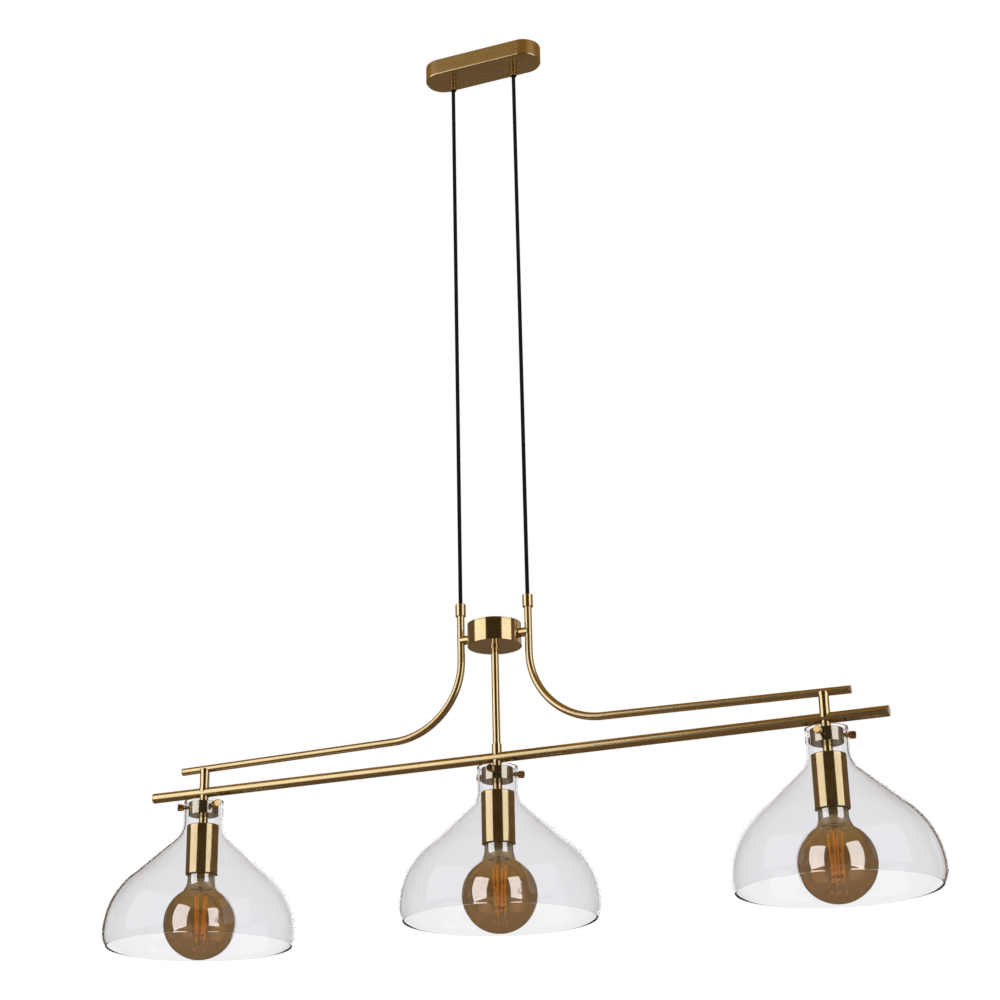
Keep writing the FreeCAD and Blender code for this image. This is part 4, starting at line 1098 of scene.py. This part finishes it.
bpy.context.scene.collection.objects.link(floor)
print("floor at", FLOOR_Z, "m")

# %% [markdown]
# ## Cloth room
# A studio hangs dark cloth round the camera, so that metal has dark bands between the bright
# ones. Here the cloth is a round room: dark behind the camera, brown at the sides and on the
# floor, and lighter overhead, with a window of white backdrop behind the light. Only
# reflections show it.

# %% Cloth room that only reflections show
CLOTH_RADIUS = 5.4
CLOTH_LOW = FLOOR_Z + 0.02
CLOTH_SILL = -1.6
CLOTH_HIGH = 2.6
WINDOW_HALF_DEG = 24.0
FRONT_HALF_DEG = 60.0
FLATS = {"dark_flat": "463824", "brown_flat": "6E5B46", "pale_roof": "8C6C3A"}


def studio_flat(name, hex_colour):
    """Glows in reflections alone: seen straight, or through clear glass, it is not there."""
    material, tree, output = new_material(name)
    glow = add_node(tree, "ShaderNodeEmission", Color=linear(hex_colour), Strength=1.0)
    path = add_node(tree, "ShaderNodeLightPath")
    reflected = add_node(tree, "ShaderNodeMath", {"operation": "GREATER_THAN"})
    tree.links.new(path.outputs["Glossy Depth"], reflected.inputs[0])
    reflected.inputs[1].default_value = 0.5
    clear = add_node(tree, "ShaderNodeBsdfTransparent")
    either = add_node(tree, "ShaderNodeMixShader", Fac=reflected.outputs["Value"])
    tree.links.new(clear.outputs["BSDF"], either.inputs[1])
    tree.links.new(glow.outputs["Emission"], either.inputs[2])
    tree.links.new(either.outputs["Shader"], output.inputs["Surface"])
    material.cycles.emission_sampling = "NONE"
    return material


bm = bmesh.new()
made = bmesh.ops.create_circle(bm, cap_ends=True, radius=CLOTH_RADIUS, segments=90)
bmesh.ops.translate(bm, vec=(0, 0, CLOTH_LOW), verts=made["verts"])
edges = [edge for edge in bm.edges if edge.is_boundary]
edges = pull(bm, edges, (0, 0, CLOTH_SILL - CLOTH_LOW))
edges = pull(bm, [edge for edge in edges if edge.is_boundary], (0, 0, CLOTH_HIGH - CLOTH_SILL))
bmesh.ops.edgeloop_fill(bm, edges=[edge for edge in edges if edge.is_boundary])
window = []
for face in bm.faces:
    place = face.calc_center_median()
    if place.z > CLOTH_HIGH - 0.01:
        face.material_index = 2
        continue
    face.material_index = 1
    if place.z > CLOTH_LOW + 0.01:
        turned = Vector((place.x, place.y, 0)).angle(ahead)
        if turned > math.radians(180 - FRONT_HALF_DEG):
            face.material_index = 0
        if place.z > CLOTH_SILL and turned < math.radians(WINDOW_HALF_DEG):
            window.append(face)
bmesh.ops.delete(bm, geom=window, context="FACES")
cloth_mesh = bpy.data.meshes.new("cloth_room")
bm.to_mesh(cloth_mesh)
bm.free()
for name, hex_colour in FLATS.items():
    cloth_mesh.materials.append(studio_flat(name, hex_colour))
cloth = bpy.data.objects.new("cloth_room", cloth_mesh)
for ray in ("camera", "diffuse", "volume_scatter", "shadow"):
    setattr(cloth, "visible_" + ray, False)
bpy.context.scene.collection.objects.link(cloth)
print("cloth room:", len(FLATS), "flats")

# %% [markdown]
# ## The end
# The view transform is Standard, so a colour renders about as it is written.

# %% Finish
bpy.context.scene.view_settings.view_transform = "Standard"
